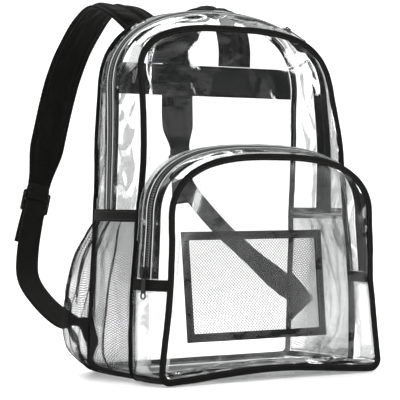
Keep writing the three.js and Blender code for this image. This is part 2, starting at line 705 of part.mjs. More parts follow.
// Straps. A frame on the strap's route: its place, the way along it, across it, and out from the wearer.
function strapPlace(side, row) {
  const z = mix(STRAP_FOOT, YOKE_TOP, row.up);
  const x = side * mix(STRAP_SPACING / 2, BACK_HALF_WIDTH, row.out);
  return new THREE.Vector3(x, backY(z) + row.behind * STRAP_REACH, z);
}

function strapAcross(row) {
  const turn = THREE.MathUtils.degToRad(row.turn);
  const tilt = THREE.MathUtils.degToRad(row.tilt);
  const level = Math.cos(tilt);
  return new THREE.Vector3(Math.cos(turn) * level, -Math.sin(turn) * level, -Math.sin(tilt));
}

// A smooth run of frames through the rows of a route.
function strapFrames(places, acrosses, steps) {
  const route = new THREE.CatmullRomCurve3(places, false, 'centripetal');
  const lie = new THREE.CatmullRomCurve3(acrosses, false, 'centripetal');
  return Array.from({ length: steps + 1 }, (_, i) => {
    const point = route.getPoint(i / steps);
    const along = route.getTangent(i / steps).normalize();
    const across = lie.getPoint(i / steps);
    across.addScaledVector(along, -across.dot(along)).normalize();
    return { point, along, across, out: along.clone().cross(across) };
  });
}

const TAPER_START = 0.9;

function strapPad(frames) {
  const cols = 6;
  const last = frames.length - 1;
  const rows = frames.map((frame, i) => {
    const taper = ease((i / last - TAPER_START) / (1 - TAPER_START));
    const width = mix(STRAP_WIDTH, STRAP_END_WIDTH, taper);
    return Array.from({ length: cols + 1 }, (_, j) => (
      frame.point.clone().addScaledVector(frame.across, (j / cols - 0.5) * width)
    ));
  });
  const thick = (i, j) => {
    const edge = Math.min(j, cols - j) / (cols / 2);
    const groove = j === cols / 2 ? 0.25 : 0;
    const full = mix(0.35, 1, ease(edge * 2)) - groove;
    const taper = ease((i / last - TAPER_START) / (1 - TAPER_START));
    return mix(STRAP_THICKNESS * full, STRAP_END_THICKNESS, taper);
  };
  return wall(rows, thick);
}

// Places down the lock: its windows, the bar that the loop hangs on, and the bar that the webbing rounds.
const LOCK_WINDOWS = [[-8.6, -2.8], [-1, 4.6], [8.6, 10.6]];
const LOCK_LOOP_BAR = -10.6;
const LOCK_TURN = 6.6;
const LOCK_BELOW_PAD = 21;

// The ladder lock: a moulded frame with a slot for the loop and a slot that the webbing turns through.
function ladderLock() {
  const outline = roundedBox(LOCK_WIDTH, LOCK_LENGTH, LOCK_CORNER);
  const slot = WEBBING_WIDTH + 2.4;
  for (const [low, high] of LOCK_WINDOWS) {
    const corners = [[-slot / 2, low], [-slot / 2, high], [slot / 2, high], [slot / 2, low]];
    outline.holes.push(new THREE.Path(corners.map(([x, y]) => new THREE.Vector2(x, y))));
  }
  const geometry = new THREE.ExtrudeGeometry(outline, {
    depth: LOCK_THICKNESS, bevelEnabled: false, curveSegments: 2 });
  return geometry.translate(0, 0, -LOCK_THICKNESS / 2);
}

function roundedBox(width, height, radius) {
  const x = width / 2;
  const y = height / 2;
  const shape = new THREE.Shape();
  shape.moveTo(-x + radius, -y);
  shape.lineTo(x - radius, -y);
  shape.absarc(x - radius, -y + radius, radius, -Math.PI / 2, 0);
  shape.absarc(x - radius, y - radius, radius, 0, Math.PI / 2);
  shape.absarc(-x + radius, y - radius, radius, Math.PI / 2, Math.PI);
  shape.absarc(-x + radius, -y + radius, radius, Math.PI, Math.PI * 1.5);
  return shape;
}

// A lock's own frame, at the end of its pad: +Y runs down the strap and +Z away from the wearer.
function lockFrame(end) {
  const origin = end.point.clone().addScaledVector(end.along, LOCK_BELOW_PAD);
  const basis = new THREE.Matrix4().makeBasis(end.across, end.along, end.across.clone().cross(end.along));
  return { origin, turn: new THREE.Quaternion().setFromRotationMatrix(basis), basis };
}

function inLock(lock, x, y, z) {
  return new THREE.Vector3(x, y, z).applyQuaternion(lock.turn).add(lock.origin);
}

function acrossLock(lock, path) {
  return path.map(([y, z]) => [-0.5, 0.5].map((s) => inLock(lock, s * WEBBING_WIDTH, y, z)));
}

function halfTurn(centre, direction, steps) {
  return Array.from({ length: steps + 1 }, (_, i) => {
    const angle = Math.PI * (i / steps);
    return [centre + direction * LOCK_TURN_RADIUS * Math.sin(angle), LOCK_TURN_RADIUS * Math.cos(angle)];
  });
}

// The loop goes from the pad round the lock's upper bar and back to the pad.
function lockLoop(lock) {
  const start = -LOCK_BELOW_PAD + 2 * GAP;
  const turn = halfTurn(LOCK_LOOP_BAR, 1, 6);
  const path = [[start, 1.2], [mix(start, LOCK_LOOP_BAR, 0.6), LOCK_TURN_RADIUS], ...turn,
    [mix(start, LOCK_LOOP_BAR, 0.6), -LOCK_TURN_RADIUS], [start, -1.2]];
  return wall(acrossLock(lock, path), WEBBING_THICKNESS);
}

// The webbing starts at its free tail, turns through the lock and runs down to the foot of the seam.
function strapWebbing(lock, frames, sewnEdge) {
  const tailEnd = LOCK_LENGTH / 2 + TAIL_LENGTH;
  const local = [
    [tailEnd, LOCK_TURN_RADIUS + TAIL_LIFT],
    [mix(LOCK_TURN, tailEnd, 0.5), LOCK_TURN_RADIUS + TAIL_LIFT / 2],
    [LOCK_LENGTH / 2, LOCK_TURN_RADIUS],
    ...halfTurn(LOCK_TURN, -1, 6),
    [LOCK_LENGTH / 2, -LOCK_TURN_RADIUS],
  ];
  const rows = acrossLock(lock, local);
  for (const frame of frames.slice(1, -1)) {
    rows.push([-0.5, 0.5].map((s) => (
      frame.point.clone().addScaledVector(frame.across, s * WEBBING_WIDTH)
    )));
  }
  rows.push(sewnEdge);
  return wall(rows, WEBBING_THICKNESS);
}

// The webbing's sewn edge, down the outer face of the back binding.
function anchorEdge(side, height) {
  return [-0.5, 0.5].map((s) => {
    const z = height + side * s * ANCHOR_CUT;
    const y = backY(z) + BINDING_THICKNESS / 2 + 2 * GAP + WEBBING_THICKNESS / 2;
    return new THREE.Vector3(side * (backSeam.half(z) - BINDING_WIDTH / 2), y, z);
  });
}

// The triangle of doubled webbing on the side wall, sewn into the foot of the back seam.
function anchorTab(side, height) {
  const cells = grid(4, 4, (h, s) => {
    const half = mix(TAB_SPAN / 2, TAB_POINT / 2, s);
    const z = height + mix(-half, half, h);
    const v = 1 - (SEAM_CLEAR + TAB_THICKNESS + TAB_LENGTH * s) / BODY_DEPTH;
    return offSide(bodySide, side, z, v, FILM / 2 + GAP + TAB_THICKNESS / 2);
  });
  return wall(cells, TAB_THICKNESS);
}

function addStrap(label, side, anchorHeight, padRows, webbingRows) {
  const padPlaces = padRows.map((row) => strapPlace(side, row));
  const padFrames = strapFrames(padPlaces, padRows.map(strapAcross), STRAP_STEPS);
  const end = padFrames[padFrames.length - 1];
  const lock = lockFrame(end);
  add(`${label}_strap_pad`, strapPad(padFrames), 'padding');
  const lockMesh = add(`${label}_ladder_lock`, ladderLock(), 'plastic');
  lockMesh.position.copy(lock.origin);
  lockMesh.quaternion.copy(lock.turn);
  add(`${label}_lock_loop`, lockLoop(lock), 'tape');
  const exit = inLock(lock, 0, LOCK_LENGTH / 2, -LOCK_TURN_RADIUS);
  const below = inLock(lock, 0, LOCK_LENGTH / 2 + LOCK_LEAD, -LOCK_TURN_RADIUS);
  const sewnEdge = anchorEdge(side, anchorHeight);
  const sewnMiddle = sewnEdge[0].clone().lerp(sewnEdge[1], 0.5);
  const sewnAcross = sewnEdge[1].clone().sub(sewnEdge[0]).normalize();
  const places = [exit, below, ...webbingRows.map((row) => strapPlace(side, row)), sewnMiddle];
  const acrosses = [end.across, end.across, ...webbingRows.map(strapAcross), sewnAcross];
  const frames = strapFrames(places, acrosses, WEBBING_STEPS);
  add(`${label}_webbing`, strapWebbing(lock, frames, sewnEdge), 'tape');
  add(`${label}_anchor_tab`, anchorTab(side, anchorHeight - TAB_DROP), 'tape');
}

addStrap('left', -1, LEFT_ANCHOR_HEIGHT, LEFT_STRAP_ROWS, LEFT_WEBBING_ROWS);
addStrap('right', 1, RIGHT_ANCHOR_HEIGHT, RIGHT_STRAP_ROWS, RIGHT_WEBBING_ROWS);

// Zip sliders. In a slider's own frame +Y runs down the zip, +Z points away from the tape.
function solidOf(geometry) {
  const bare = geometry.index ? geometry.toNonIndexed() : geometry.clone();
  bare.deleteAttribute('normal');
  bare.deleteAttribute('uv');
  const merged = mergeVertices(bare, 1e-4);
  return new wasm.Manifold(new wasm.Mesh({
    numProp: 3,
    vertProperties: merged.attributes.position.array,
    triVerts: new Uint32Array(merged.index.array),
  }));
}

function geometryOf(solid) {
  const mesh = solid.getMesh();
  const geometry = new THREE.BufferGeometry();
  geometry.setAttribute('position', new THREE.BufferAttribute(mesh.vertProperties, 3));
  geometry.setIndex(new THREE.BufferAttribute(mesh.triVerts, 1));
  geometry.computeVertexNormals();
  return geometry;
}

function sliderBody() {
  const plate = new THREE.ExtrudeGeometry(roundedBox(SLIDER_WIDTH, SLIDER_LENGTH, SLIDER_CORNER), {
    depth: SLIDER_THICKNESS, bevelEnabled: false, curveSegments: 3 });
  const post = BRIDGE_BAR;
  const height = BRIDGE_OPENING + BRIDGE_BAR;
  let body = solidOf(plate);
  for (const end of [-1, 1]) {
    const leg = new THREE.BoxGeometry(BRIDGE_WIDTH, post, height + 0.4);
    leg.translate(0, (end * (BRIDGE_LENGTH - post)) / 2, SLIDER_THICKNESS + height / 2 - 0.2);
    body = body.add(solidOf(leg));
  }
  const bar = new THREE.BoxGeometry(BRIDGE_WIDTH, BRIDGE_LENGTH, BRIDGE_BAR);
  bar.translate(0, 0, SLIDER_THICKNESS + BRIDGE_OPENING + BRIDGE_BAR / 2);
  return geometryOf(body.add(solidOf(bar)));
}

// The pull: a flat tab with a slot over the slider's bridge, and a round eye at its free end.
function pullTab() {
  const shape = new THREE.Shape();
  const eye = PULL_LENGTH - PULL_EYE_RADIUS;
  shape.moveTo(-PULL_HALF_WIDTH, -PULL_BAR / 2);
  shape.lineTo(PULL_HALF_WIDTH, -PULL_BAR / 2);
  shape.lineTo(PULL_HALF_WIDTH, eye - PULL_EYE_RADIUS);
  shape.absarc(0, eye, PULL_EYE_RADIUS, -Math.PI * 0.2, Math.PI * 1.2);
  shape.lineTo(-PULL_HALF_WIDTH, eye - PULL_EYE_RADIUS);
  const hole = new THREE.Path();
  hole.absarc(0, eye, PULL_EYE_HOLE, 0, 2 * Math.PI, true);
  const slot = new THREE.Path();
  const wide = BRIDGE_WIDTH / 2 + 0.5;
  const slotTop = PULL_BAR / 2;
  const slotEnd = BRIDGE_LENGTH + 0.8;
  slot.moveTo(-wide, slotTop);
  slot.lineTo(-wide, slotEnd);
  slot.lineTo(wide, slotEnd);
  slot.lineTo(wide, slotTop);
  shape.holes.push(hole, slot);
  const geometry = new THREE.ExtrudeGeometry(shape, {
    depth: PULL_THICKNESS, bevelEnabled: false, curveSegments: 5 });
  return geometry.translate(0, 0, -PULL_THICKNESS / 2);
}

// A slider sits on the coil at a place along a gusset, with its pull hanging on its bridge.
function addSlider(label, gusset, place, downhill) {
  const at = gusset.at(place, 0.5);
  const along = gusset.at(place + 0.004 * downhill, 0.5).sub(at).normalize();
  const across = gusset.at(place, 0.55).sub(gusset.at(place, 0.45)).normalize();
  across.addScaledVector(along, -across.dot(along)).normalize();
  let out = across.clone().cross(along);
  if (out.dot(new THREE.Vector3(at.x, 0, at.z)) < 0) {
    across.negate();
    out = across.clone().cross(along);
  }
  const basis = new THREE.Matrix4().makeBasis(across, along, out);
  const slider = new THREE.Group();
  slider.position.copy(at).addScaledVector(out, COIL_THICKNESS / 2 + GAP);
  slider.quaternion.setFromRotationMatrix(basis);
  bag.add(slider);
  add(`${label}_slider`, sliderBody(), 'enamel', slider);
  const pull = add(`${label}_pull`, pullTab(), 'enamel', slider);
  pull.position.set(0, 0, SLIDER_THICKNESS + BRIDGE_OPENING / 2);
}

addSlider('main_zipper', bodyGusset, MAIN_SLIDER_PLACE, 1);
addSlider('pocket_zipper', pocketGusset, POCKET_SLIDER_PLACE, -1);

export default bag;
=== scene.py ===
"""A clear stadium backpack, dressed piece by piece in the order in which it is sewn."""

import math

import bpy
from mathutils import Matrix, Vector, noise


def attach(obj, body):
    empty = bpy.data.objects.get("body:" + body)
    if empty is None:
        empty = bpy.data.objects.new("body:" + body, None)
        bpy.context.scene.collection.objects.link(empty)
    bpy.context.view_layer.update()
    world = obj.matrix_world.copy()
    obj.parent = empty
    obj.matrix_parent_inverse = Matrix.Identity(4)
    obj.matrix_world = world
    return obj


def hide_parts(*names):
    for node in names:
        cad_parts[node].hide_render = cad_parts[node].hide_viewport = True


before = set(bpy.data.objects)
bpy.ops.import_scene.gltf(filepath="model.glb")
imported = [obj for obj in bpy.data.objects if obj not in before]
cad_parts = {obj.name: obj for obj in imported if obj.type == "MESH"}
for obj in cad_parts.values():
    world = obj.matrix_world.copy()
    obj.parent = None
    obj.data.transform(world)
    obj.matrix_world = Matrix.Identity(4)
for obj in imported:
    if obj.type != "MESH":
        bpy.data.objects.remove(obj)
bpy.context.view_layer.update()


# The photographer's camera: low, in front and to the left, with a long lens. It stands in the bag's own
# frame, on a pale sheet that runs on behind the bag, lit by soft boxes on both sides and above.
def linear(hex_colour):
    values = [int(hex_colour[i:i + 2], 16) / 255 for i in (1, 3, 5)]
    return [v / 12.92 if v <= 0.04045 else ((v + 0.055) / 1.055) ** 2.4 for v in values] + [1.0]


def add_node(tree, kind, settings=None, links=None):
    node = tree.nodes.new(kind)
    for key, value in (settings or {}).items():
        setattr(node, key, value)
    for key, value in (links or {}).items():
        if isinstance(value, bpy.types.NodeSocket):
            tree.links.new(value, node.inputs[key])
        else:
            node.inputs[key].default_value = value
    return node


def new_material(name):
    material = bpy.data.materials.new(name)
    material.use_nodes = True
    material.node_tree.nodes.clear()
    return material, material.node_tree


def show(tree, shader):
    add_node(tree, "ShaderNodeOutputMaterial", None, {"Surface": shader.outputs[0]})


def smooth_ramp(tree, value, from_min, from_max, to_min, to_max):
    return add_node(tree, "ShaderNodeMapRange", {"interpolation_type": "SMOOTHSTEP"}, {
        "Value": value, "From Min": from_min, "From Max": from_max, "To Min": to_min, "To Max": to_max}).outputs[0]


camera = bpy.data.objects.new("camera", bpy.data.cameras.new("camera"))
bpy.context.scene.collection.objects.link(camera)
camera.data.sensor_width = 36
camera.data.lens = 138.4
camera.data.clip_start = 0.05
camera.data.clip_end = 50
camera.location = (-1.010, -1.598, 0.219)
camera.rotation_euler = [math.radians(angle) for angle in (90 - 0.35, 0.0, -31.6)]
bpy.context.scene.camera = camera
bpy.context.scene.view_settings.view_transform = "Standard"

floor_mesh = bpy.data.meshes.new("studio_sheet")
SHEET_HALF, SHEET_HEIGHT = 9, -0.0006
sheet_corners = [(x * SHEET_HALF, y * SHEET_HALF, SHEET_HEIGHT) for x, y in ((-1, -1), (1, -1), (1, 1), (-1, 1))]
floor_mesh.from_pydata(sheet_corners, [], [(0, 1, 2, 3)])
floor = bpy.data.objects.new("studio_sheet", floor_mesh)
bpy.context.scene.collection.objects.link(floor)
sheet_material, tree = new_material("glazed_white_paper")
paper = add_node(tree, "ShaderNodeBsdfPrincipled", None, {
    "Base Color": linear("#fafafa"), "Roughness": 0.3, "Specular IOR Level": 0.3})
show(tree, paper)
floor_mesh.materials.append(sheet_material)

world = bpy.data.worlds.new("studio")
bpy.context.scene.world = world
world.use_nodes = True
world.node_tree.nodes.clear()
studio = world.node_tree
place = add_node(studio, "ShaderNodeTexCoord")
split = add_node(studio, "ShaderNodeSeparateXYZ", None, {"Vector": place.outputs["Generated"]})
behind = smooth_ramp(studio, split.outputs["Y"], -0.75, 0.15, 0.15, 1.4)
above = smooth_ramp(studio, split.outputs["Z"], 0.3, 0.95, 0.0, 1.3)
open_light = add_node(studio, "ShaderNodeMath", {"operation": "ADD"}, {0: behind, 1: above})
# Black cards to the sides keep the film's reflections dark, and a white one behind lights its creases.
toward_card = add_node(studio, "ShaderNodeVectorMath", {"operation": "DOT_PRODUCT"}, {
    0: place.outputs["Generated"], 1: (0.52, 0.85, 0.0)})
card = smooth_ramp(studio, toward_card.outputs["Value"], 0.7, 0.86, 0.04, 1.1)
high = smooth_ramp(studio, split.outputs["Z"], 0.5, 0.68, 0.0, 0.7)
carded = add_node(studio, "ShaderNodeMath", {"operation": "ADD"}, {0: card, 1: high})
ray = add_node(studio, "ShaderNodeLightPath")
glow_share = add_node(studio, "ShaderNodeMix", {"data_type": "FLOAT"}, {
    "Factor": ray.outputs["Is Glossy Ray"], "A": open_light.outputs[0], "B": carded.outputs[0]})
glow = add_node(studio, "ShaderNodeBackground", None, {
    "Color": linear("#ffffff"), "Strength": glow_share.outputs[0]})
add_node(studio, "ShaderNodeOutputWorld", None, {"Surface": glow.outputs[0]})


def soft_box(name, place, target, size, watts):
    light = bpy.data.lights.new(name, "AREA")
    light.shape = "RECTANGLE"
    light.size, light.size_y = size
    light.energy = watts
    lamp = bpy.data.objects.new(name, light)
    lamp.location = place
    lamp.rotation_euler = (Vector(target) - Vector(place)).to_track_quat("-Z", "Y").to_euler()
    bpy.context.scene.collection.objects.link(lamp)


soft_box("left_soft_box", (-1.6, -0.9, 1.3), (0, 0, 0.2), (0.9, 1.2), 16)
soft_box("right_soft_box", (1.5, -1.1, 0.9), (0, 0, 0.2), (0.5, 1.2), 9)
soft_box("top_soft_box", (0.1, 0.3, 1.7), (0, 0, 0.2), (1.3, 0.9), 14)


# Back panel: one sheet of clear PVC film, cut to an arch, and the wearer's side of the bag. Its edge is
# sewn into the back binding all the way round. Sizes here and below are in millimetres.
BODY_DEPTH = 124
FRONT_HALF_WIDTH, MIDDLE_HALF_WIDTH, BACK_HALF_WIDTH = 160, 157, 150
BODY_SHOULDER = 335
BACK_TOP, ZIPPER_TOP, FRONT_TOP = 440, 437, 418
BACK_LEAN = FRONT_LEAN = 27
FILM, FILM_DRAWN = 1.0, 0.7
GAP = 0.35
# Width of the narrow band of film beside each zip that takes the pale edge look, a painted highlight line.
HIGHLIGHT_BAND_WIDTH = 0.8
BINDING_WIDTH, BINDING_THICKNESS = 8, 2.4
SEAM_INSET = 5
CORNER_RADIUS = 14
FLOOR_LIFT = 0.6
HEM_TOP, HEM_HEIGHT = 197, 14
HEM_MIDDLE = HEM_TOP - HEM_HEIGHT / 2
SIDE_ROWS = [
    {"up": 0, "front": 1, "middle": 1, "back": 1, "pocket": 1},
    {"up": 0.3, "front": 1, "middle": 1, "back": 1, "pocket": 0.96},
    {"up": 0.6, "front": 0.94, "middle": 0.99, "back": 0.985, "pocket": 0.925},
    {"up": 0.8, "front": 0.905, "middle": 0.985, "back": 0.99, "pocket": 0.915},
    {"up": 1, "front": 0.875, "middle": 0.97, "back": 0.975, "pocket": 0.91},
]
LEG_SHARE = 5 / 30


def mix(a, b, share):
    return a + (b - a) * share


def ease(share):
    s = min(max(share, 0), 1)
    return s * s * (3 - 2 * s)


def read_row(rows, key, place, column):
    i = 0
    while i < len(rows) - 2 and rows[i + 1][key] < place:
        i += 1
    a, b = rows[i], rows[i + 1]
    before, after = rows[max(i - 1, 0)], rows[min(i + 2, len(rows) - 1)]
    span = b[key] - a[key]
    slope_a = (b[column] - before[column]) / (b[key] - before[key])
    slope_b = (after[column] - a[column]) / (after[key] - a[key])
    s = min(max((place - a[key]) / span, 0), 1)
    return mix(a[column], b[column], ease(s)) + span * s * (1 - s) * (slope_a * (1 - s) - slope_b * s)


def back_y(z):
    return BODY_DEPTH / 2 - BACK_LEAN * z / BACK_TOP


def front_y(z):
    return -BODY_DEPTH / 2 + FRONT_LEAN * ease((z / FRONT_TOP - 0.62) / 0.38)


class Seam:
    def __init__(self, column, base, cut, shoulder, top, power, depth, half=None):
        self.cut, self.shoulder, self.top, self.power, self.depth = cut, shoulder, top, power, depth
        self.half = half or (lambda z: base * read_row(SIDE_ROWS, "up", z / shoulder, column))


back_seam = Seam("back", BACK_HALF_WIDTH, HEM_MIDDLE, BODY_SHOULDER, BACK_TOP, 2.5, back_y)
middle_seam = Seam("middle", MIDDLE_HALF_WIDTH, HEM_MIDDLE, BODY_SHOULDER, ZIPPER_TOP, 2.3, lambda z: 0)
front_seam = Seam("front", FRONT_HALF_WIDTH, HEM_MIDDLE, BODY_SHOULDER, FRONT_TOP, 3, front_y)


def outline_at(seam, t, cut, inset):
    side, climb = (-1, t) if t < 0.5 else (1, 1 - t)
    if climb < LEG_SHARE:
        z = mix(cut, seam.shoulder, climb / LEG_SHARE)
        return Vector((side * (seam.half(z) - inset), z))
    angle = math.pi / 2 * (climb - LEG_SHARE) / (0.5 - LEG_SHARE)
    cos, sin = abs(math.cos(angle)), abs(math.sin(angle))
    reach = (cos ** seam.power + sin ** seam.power) ** (-1 / seam.power)
    wide, high = seam.half(seam.shoulder) - inset, seam.top - seam.shoulder - inset
    return Vector((side * wide * cos * reach, seam.shoulder + high * sin * reach))


def closed_outline(seam, lift, fine):
    """The cut edge of a panel from the middle of its lower left corner round, fine steps to one of the plan."""
    leg_foot = FLOOR_LIFT + CORNER_RADIUS
    foot = seam.half(leg_foot) - CORNER_RADIUS

    def corner(side, degrees):
        angle = math.radians(degrees)
        reach, rise = math.cos(angle) * CORNER_RADIUS, math.sin(angle) * CORNER_RADIUS
        return Vector((side * (foot + reach), leg_foot + rise))

    turn, climb, whole = 2 * fine, 3 * fine, 30 * fine
    half = [corner(-1, mix(-45, 0, i / turn)) for i in range(turn)]
    for i in range(climb):
        z = mix(leg_foot, seam.cut, i / climb)
        half.append(Vector((-seam.half(z), z)))
    over = [outline_at(seam, i / whole, seam.cut, 0) for i in range(whole + 1)]
    low_right = [corner(1, mix(-45, -90, (i + 1) / turn)) for i in range(turn - 1)]
    bottom = []
    for i in range(6 * fine + 1):
        share = i / (6 * fine)
        rise = lift * max(math.sin(math.pi * share), 0) ** 1.5
        bottom.append(Vector((mix(foot, -foot, share), FLOOR_LIFT + rise)))
    mirrored = [Vector((-p.x, p.y)) for p in reversed(half)]
    low_left = [Vector((-p.x, p.y)) for p in reversed(low_right)]
    return half + over + mirrored + low_right + bottom + low_left


def inset_outline(points, inset):
    moved = []
    for i, point in enumerate(points):
        along = (points[(i + 1) % len(points)] - points[i - 1]).normalized()
        moved.append(Vector((point.x + along.y * inset, point.y - along.x * inset)))
    return moved


def mapped_mesh(name, points, faces, corners, material):
    """A smooth closed mesh from points in metres, with its UV map from corners in millimetres."""
    mesh = bpy.data.meshes.new("sewn_" + name)
    mesh.from_pydata(points, [], faces)
    layer = mesh.uv_layers.new(name="lay")
    layer.data.foreach_set("uv", [value / 1000 for corner in corners for value in corner])
    if signed_volume(mesh) < 0:
        mesh.flip_normals()
    mesh.materials.append(material)
    mesh.shade_smooth()
    return mesh


def cloth_piece(name, rows, thickness, material, closed=False, edge=None, highlight_column=None):
    """A closed sheet round a grid of points. Its rim has the edge's look, and so has the one column of cells that
    the last argument names, where that pale look is a painted highlight line.
    """
    count, width = len(rows), len(rows[0])
    thick = thickness if callable(thickness) else (lambda i, j: thickness)
    points = []
    across = [[0.0] * width for _ in range(count)]
    along = [[0.0] * width for _ in range(count + 1)]
    for i in range(count):
        for j in range(1, width):
            across[i][j] = across[i][j - 1] + (rows[i][j] - rows[i][j - 1]).length
    for i in range(1, count + 1):
        step = (rows[i % count][width // 2] - rows[i - 1][width // 2]).length
        for j in range(width):
            along[i][j] = along[i - 1][j] + step
    for side in (1, -1):
        for i in range(count):
            for j in range(width):
                ahead = rows[(i + 1) % count] if closed else rows[min(i + 1, count - 1)]
                back = rows[i - 1] if closed or i else rows[0]
                run = ahead[j] - back[j]
                span = rows[i][min(j + 1, width - 1)] - rows[i][max(j - 1, 0)]
                normal = run.cross(span).normalized()
                points.append((rows[i][j] + normal * side * thick(i, j) / 2) / 1000)
    faces, corners, cut = [], [], []
    total = count * width

    def face(cells, edge_or_highlight=1):
        faces.append([(side * total) + (i % count) * width + j for side, i, j in cells])
        corners.extend((along[i][j], across[i % count][j]) for _, i, j in cells)
        cut.append(edge_or_highlight)

    last = count if closed else count - 1
    for i in range(last):
        for j in range(width - 1):
            # One whole column of cells may take the pale edge look; there it is a painted highlight line along the
            # zip.
            in_highlight_band = int(j == highlight_column)
            face([(0, i, j), (0, i + 1, j), (0, i + 1, j + 1), (0, i, j + 1)], in_highlight_band)
            face([(1, i, j), (1, i, j + 1), (1, i + 1, j + 1), (1, i + 1, j)], in_highlight_band)
        end = width - 1
        face([(0, i, 0), (1, i, 0), (1, i + 1, 0), (0, i + 1, 0)])
        face([(0, i, end), (0, i + 1, end), (1, i + 1, end), (1, i, end)])
    if not closed:
        for j in range(width - 1):
            face([(0, 0, j), (0, 0, j + 1), (1, 0, j + 1), (1, 0, j)])
            face([(0, last, j), (1, last, j), (1, last, j + 1), (0, last, j + 1)])
    mesh = mapped_mesh(name, points, faces, corners, material)
    if edge:
        mesh.materials.append(edge)
        mesh.polygons.foreach_set("material_index", cut)
        mesh.polygons.foreach_set("use_smooth", [not edge_or_highlight for edge_or_highlight in cut])
    return finished(name, mesh)


def finished(name, mesh):
    """A piece of the bag that stands for the CAD node of its name."""
    piece = bpy.data.objects.new("sewn_" + name, mesh)
    bpy.context.scene.collection.objects.link(piece)
    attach(piece, "bag")
    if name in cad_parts:
        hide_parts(name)
    return piece


def signed_volume(mesh):
    total = 0.0
    for polygon in mesh.polygons:
        a, *rest = [mesh.vertices[v].co for v in polygon.vertices]
        for b, c in zip(rest, rest[1:]):
            total += a.dot(b.cross(c))
    return total


def ripple(x, y, z, size, seed):
    """Soft swells in loose film, from -1 to 1."""
    return noise.noise(Vector((x / size, y / size + seed, z / size)))


def crease(x, y, z, size, seed):
    """Sharp ridges where film has been folded, from 0 to 1."""
    return (1 - abs(noise.noise(Vector((x / size, y / size + seed, z / size))))) ** 6


def sewn_sway(flat):
    """How far a sewn edge wanders to and fro, as it does where film and tape were fed by hand."""
    return 2.0 * ripple(flat.x, 0, flat.y, 45, 5) + 0.5 * ripple(flat.x, 0, flat.y, 13, 6)


def film_look(tree, height, relief, haze_colour, haze_share, roughness, mirrored, offset):
    bump = add_node(tree, "ShaderNodeBump", None, {
        "Height": height.outputs[0], "Strength": relief, "Distance": 0.003})
    clear = add_node(tree, "ShaderNodeBsdfTransparent", None, {"Color": linear("#fefefe")})
    haze = add_node(tree, "ShaderNodeBsdfDiffuse", None, {"Color": linear(haze_colour)})
    hazed = add_node(tree, "ShaderNodeMixShader", None, {0: haze_share, 1: clear.outputs[0], 2: haze.outputs[0]})
    mirror = add_node(tree, "ShaderNodeBsdfGlossy", None, {
        "Color": linear("#fcfdfd"), "Roughness": roughness, "Normal": bump.outputs[0]})
    rim = add_node(tree, "ShaderNodeFresnel", None, {"IOR": 1.45, "Normal": bump.outputs[0]})
    share = add_node(tree, "ShaderNodeMath", {"operation": "MULTIPLY_ADD", "use_clamp": True}, {
        0: rim.outputs[0], 1: mirrored, 2: offset})
    show(tree, add_node(tree, "ShaderNodeMixShader", None, {
        0: share.outputs[0], 1: hazed.outputs[0], 2: mirror.outputs[0]}))


# Clear PVC film is almost unseen face on. It turns to a mirror where it is seen along its surface, and
# a trace of haze greys what lies behind it. Its knife-cut rims are pale grey, as frosted cut edges are,
# and the same pale grey on a narrow band of film beside each zip is a painted highlight line.
film_material, tree = new_material("clear_pvc_film")
place = add_node(tree, "ShaderNodeTexCoord")
swell = add_node(tree, "ShaderNodeTexNoise", None, {
    "Vector": place.outputs["Object"], "Scale": 42.0, "Detail": 2.0, "Roughness": 0.5})
film_look(tree, swell, 0.2, "#f0f2f2", 0.006, 0.07, 0.75, -0.014)

cut_edge_and_painted_highlight_material, tree = new_material("knife_cut_pvc_edge_and_painted_highlight")
frost_and_painted_highlight = add_node(tree, "ShaderNodeBsdfPrincipled", None, {
    "Base Color": linear("#c9cccc"), "Roughness": 0.45, "IOR": 1.53})
show(tree, frost_and_painted_highlight)


def film_panel(name, seam, lift, fine, shape):
    """Fills a seam's outline, blended from its sides; shape(u, flat, rim_share) moves it along Y."""
    loop = inset_outline(closed_outline(seam, lift, fine), BINDING_WIDTH - 1.5)
    side, crown = 15 * fine, 10 * fine
    left, top = loop[:side + 1], loop[side:side + crown + 1]
    right = loop[side + crown:2 * side + crown + 1][::-1]
    bottom = (loop[2 * side + crown:] + [loop[0]])[::-1]
    rows = []
    for j in range(side + 1):
        v = j / side
        row = []
        for i in range(crown + 1):
            u = i / crown
            flat = left[j].lerp(right[j], u) + bottom[i].lerp(top[i], v)
            flat -= left[0].lerp(right[0], u).lerp(left[side].lerp(right[side], u), v)
            near = min(u, 1 - u, v, 1 - v)
            pucker = math.sin(math.pi * min(1, near / 0.07)) * (0.5 + 0.7 * ripple(flat.x, 0, flat.y, 16, 4))
            press = shape(u, flat, ease(min(1, 8 * near))) - pucker + sewn_sway(flat) * (1 - ease(6 * near))
            row.append(Vector((flat.x, seam.depth(flat.y) + press, flat.y)))
        rows.append(row)
    return cloth_piece(name, rows, FILM_DRAWN, film_material, edge=cut_edge_and_painted_highlight_material)


def back_swell(_, flat, rim_share):
    return rim_share * (1.4 * ripple(flat.x, 0, flat.y, 90, 1) + 0.4 * crease(flat.x, 0, flat.y, 80, 2))


film_panel("back_panel", back_seam, 0, 7, back_swell)


def cloth_look(tree, weave, relief, wear_scale, wear_detail, unworn, worn, roughness):
    """Black cloth whose weave stands up by relief, a (strength, metres) pair, greyed where it is worn."""
    place = add_node(tree, "ShaderNodeTexCoord")
    wear = add_node(tree, "ShaderNodeTexNoise", None, {
        "Vector": place.outputs["Object"], "Scale": wear_scale, "Detail": wear_detail})
    shade = add_node(tree, "ShaderNodeMix", {"data_type": "RGBA"}, {
        "Factor": wear.outputs[0], "A": linear(unworn), "B": linear(worn)})
    bump = add_node(tree, "ShaderNodeBump", None, {
        "Height": weave.outputs[0], "Strength": relief[0], "Distance": relief[1]})
    show(tree, add_node(tree, "ShaderNodeBsdfPrincipled", None, {
        "Base Color": shade.outputs["Result"], "Roughness": roughness, "Specular IOR Level": 0.12,
        "Sheen Weight": 0.02, "Normal": bump.outputs[0]}))


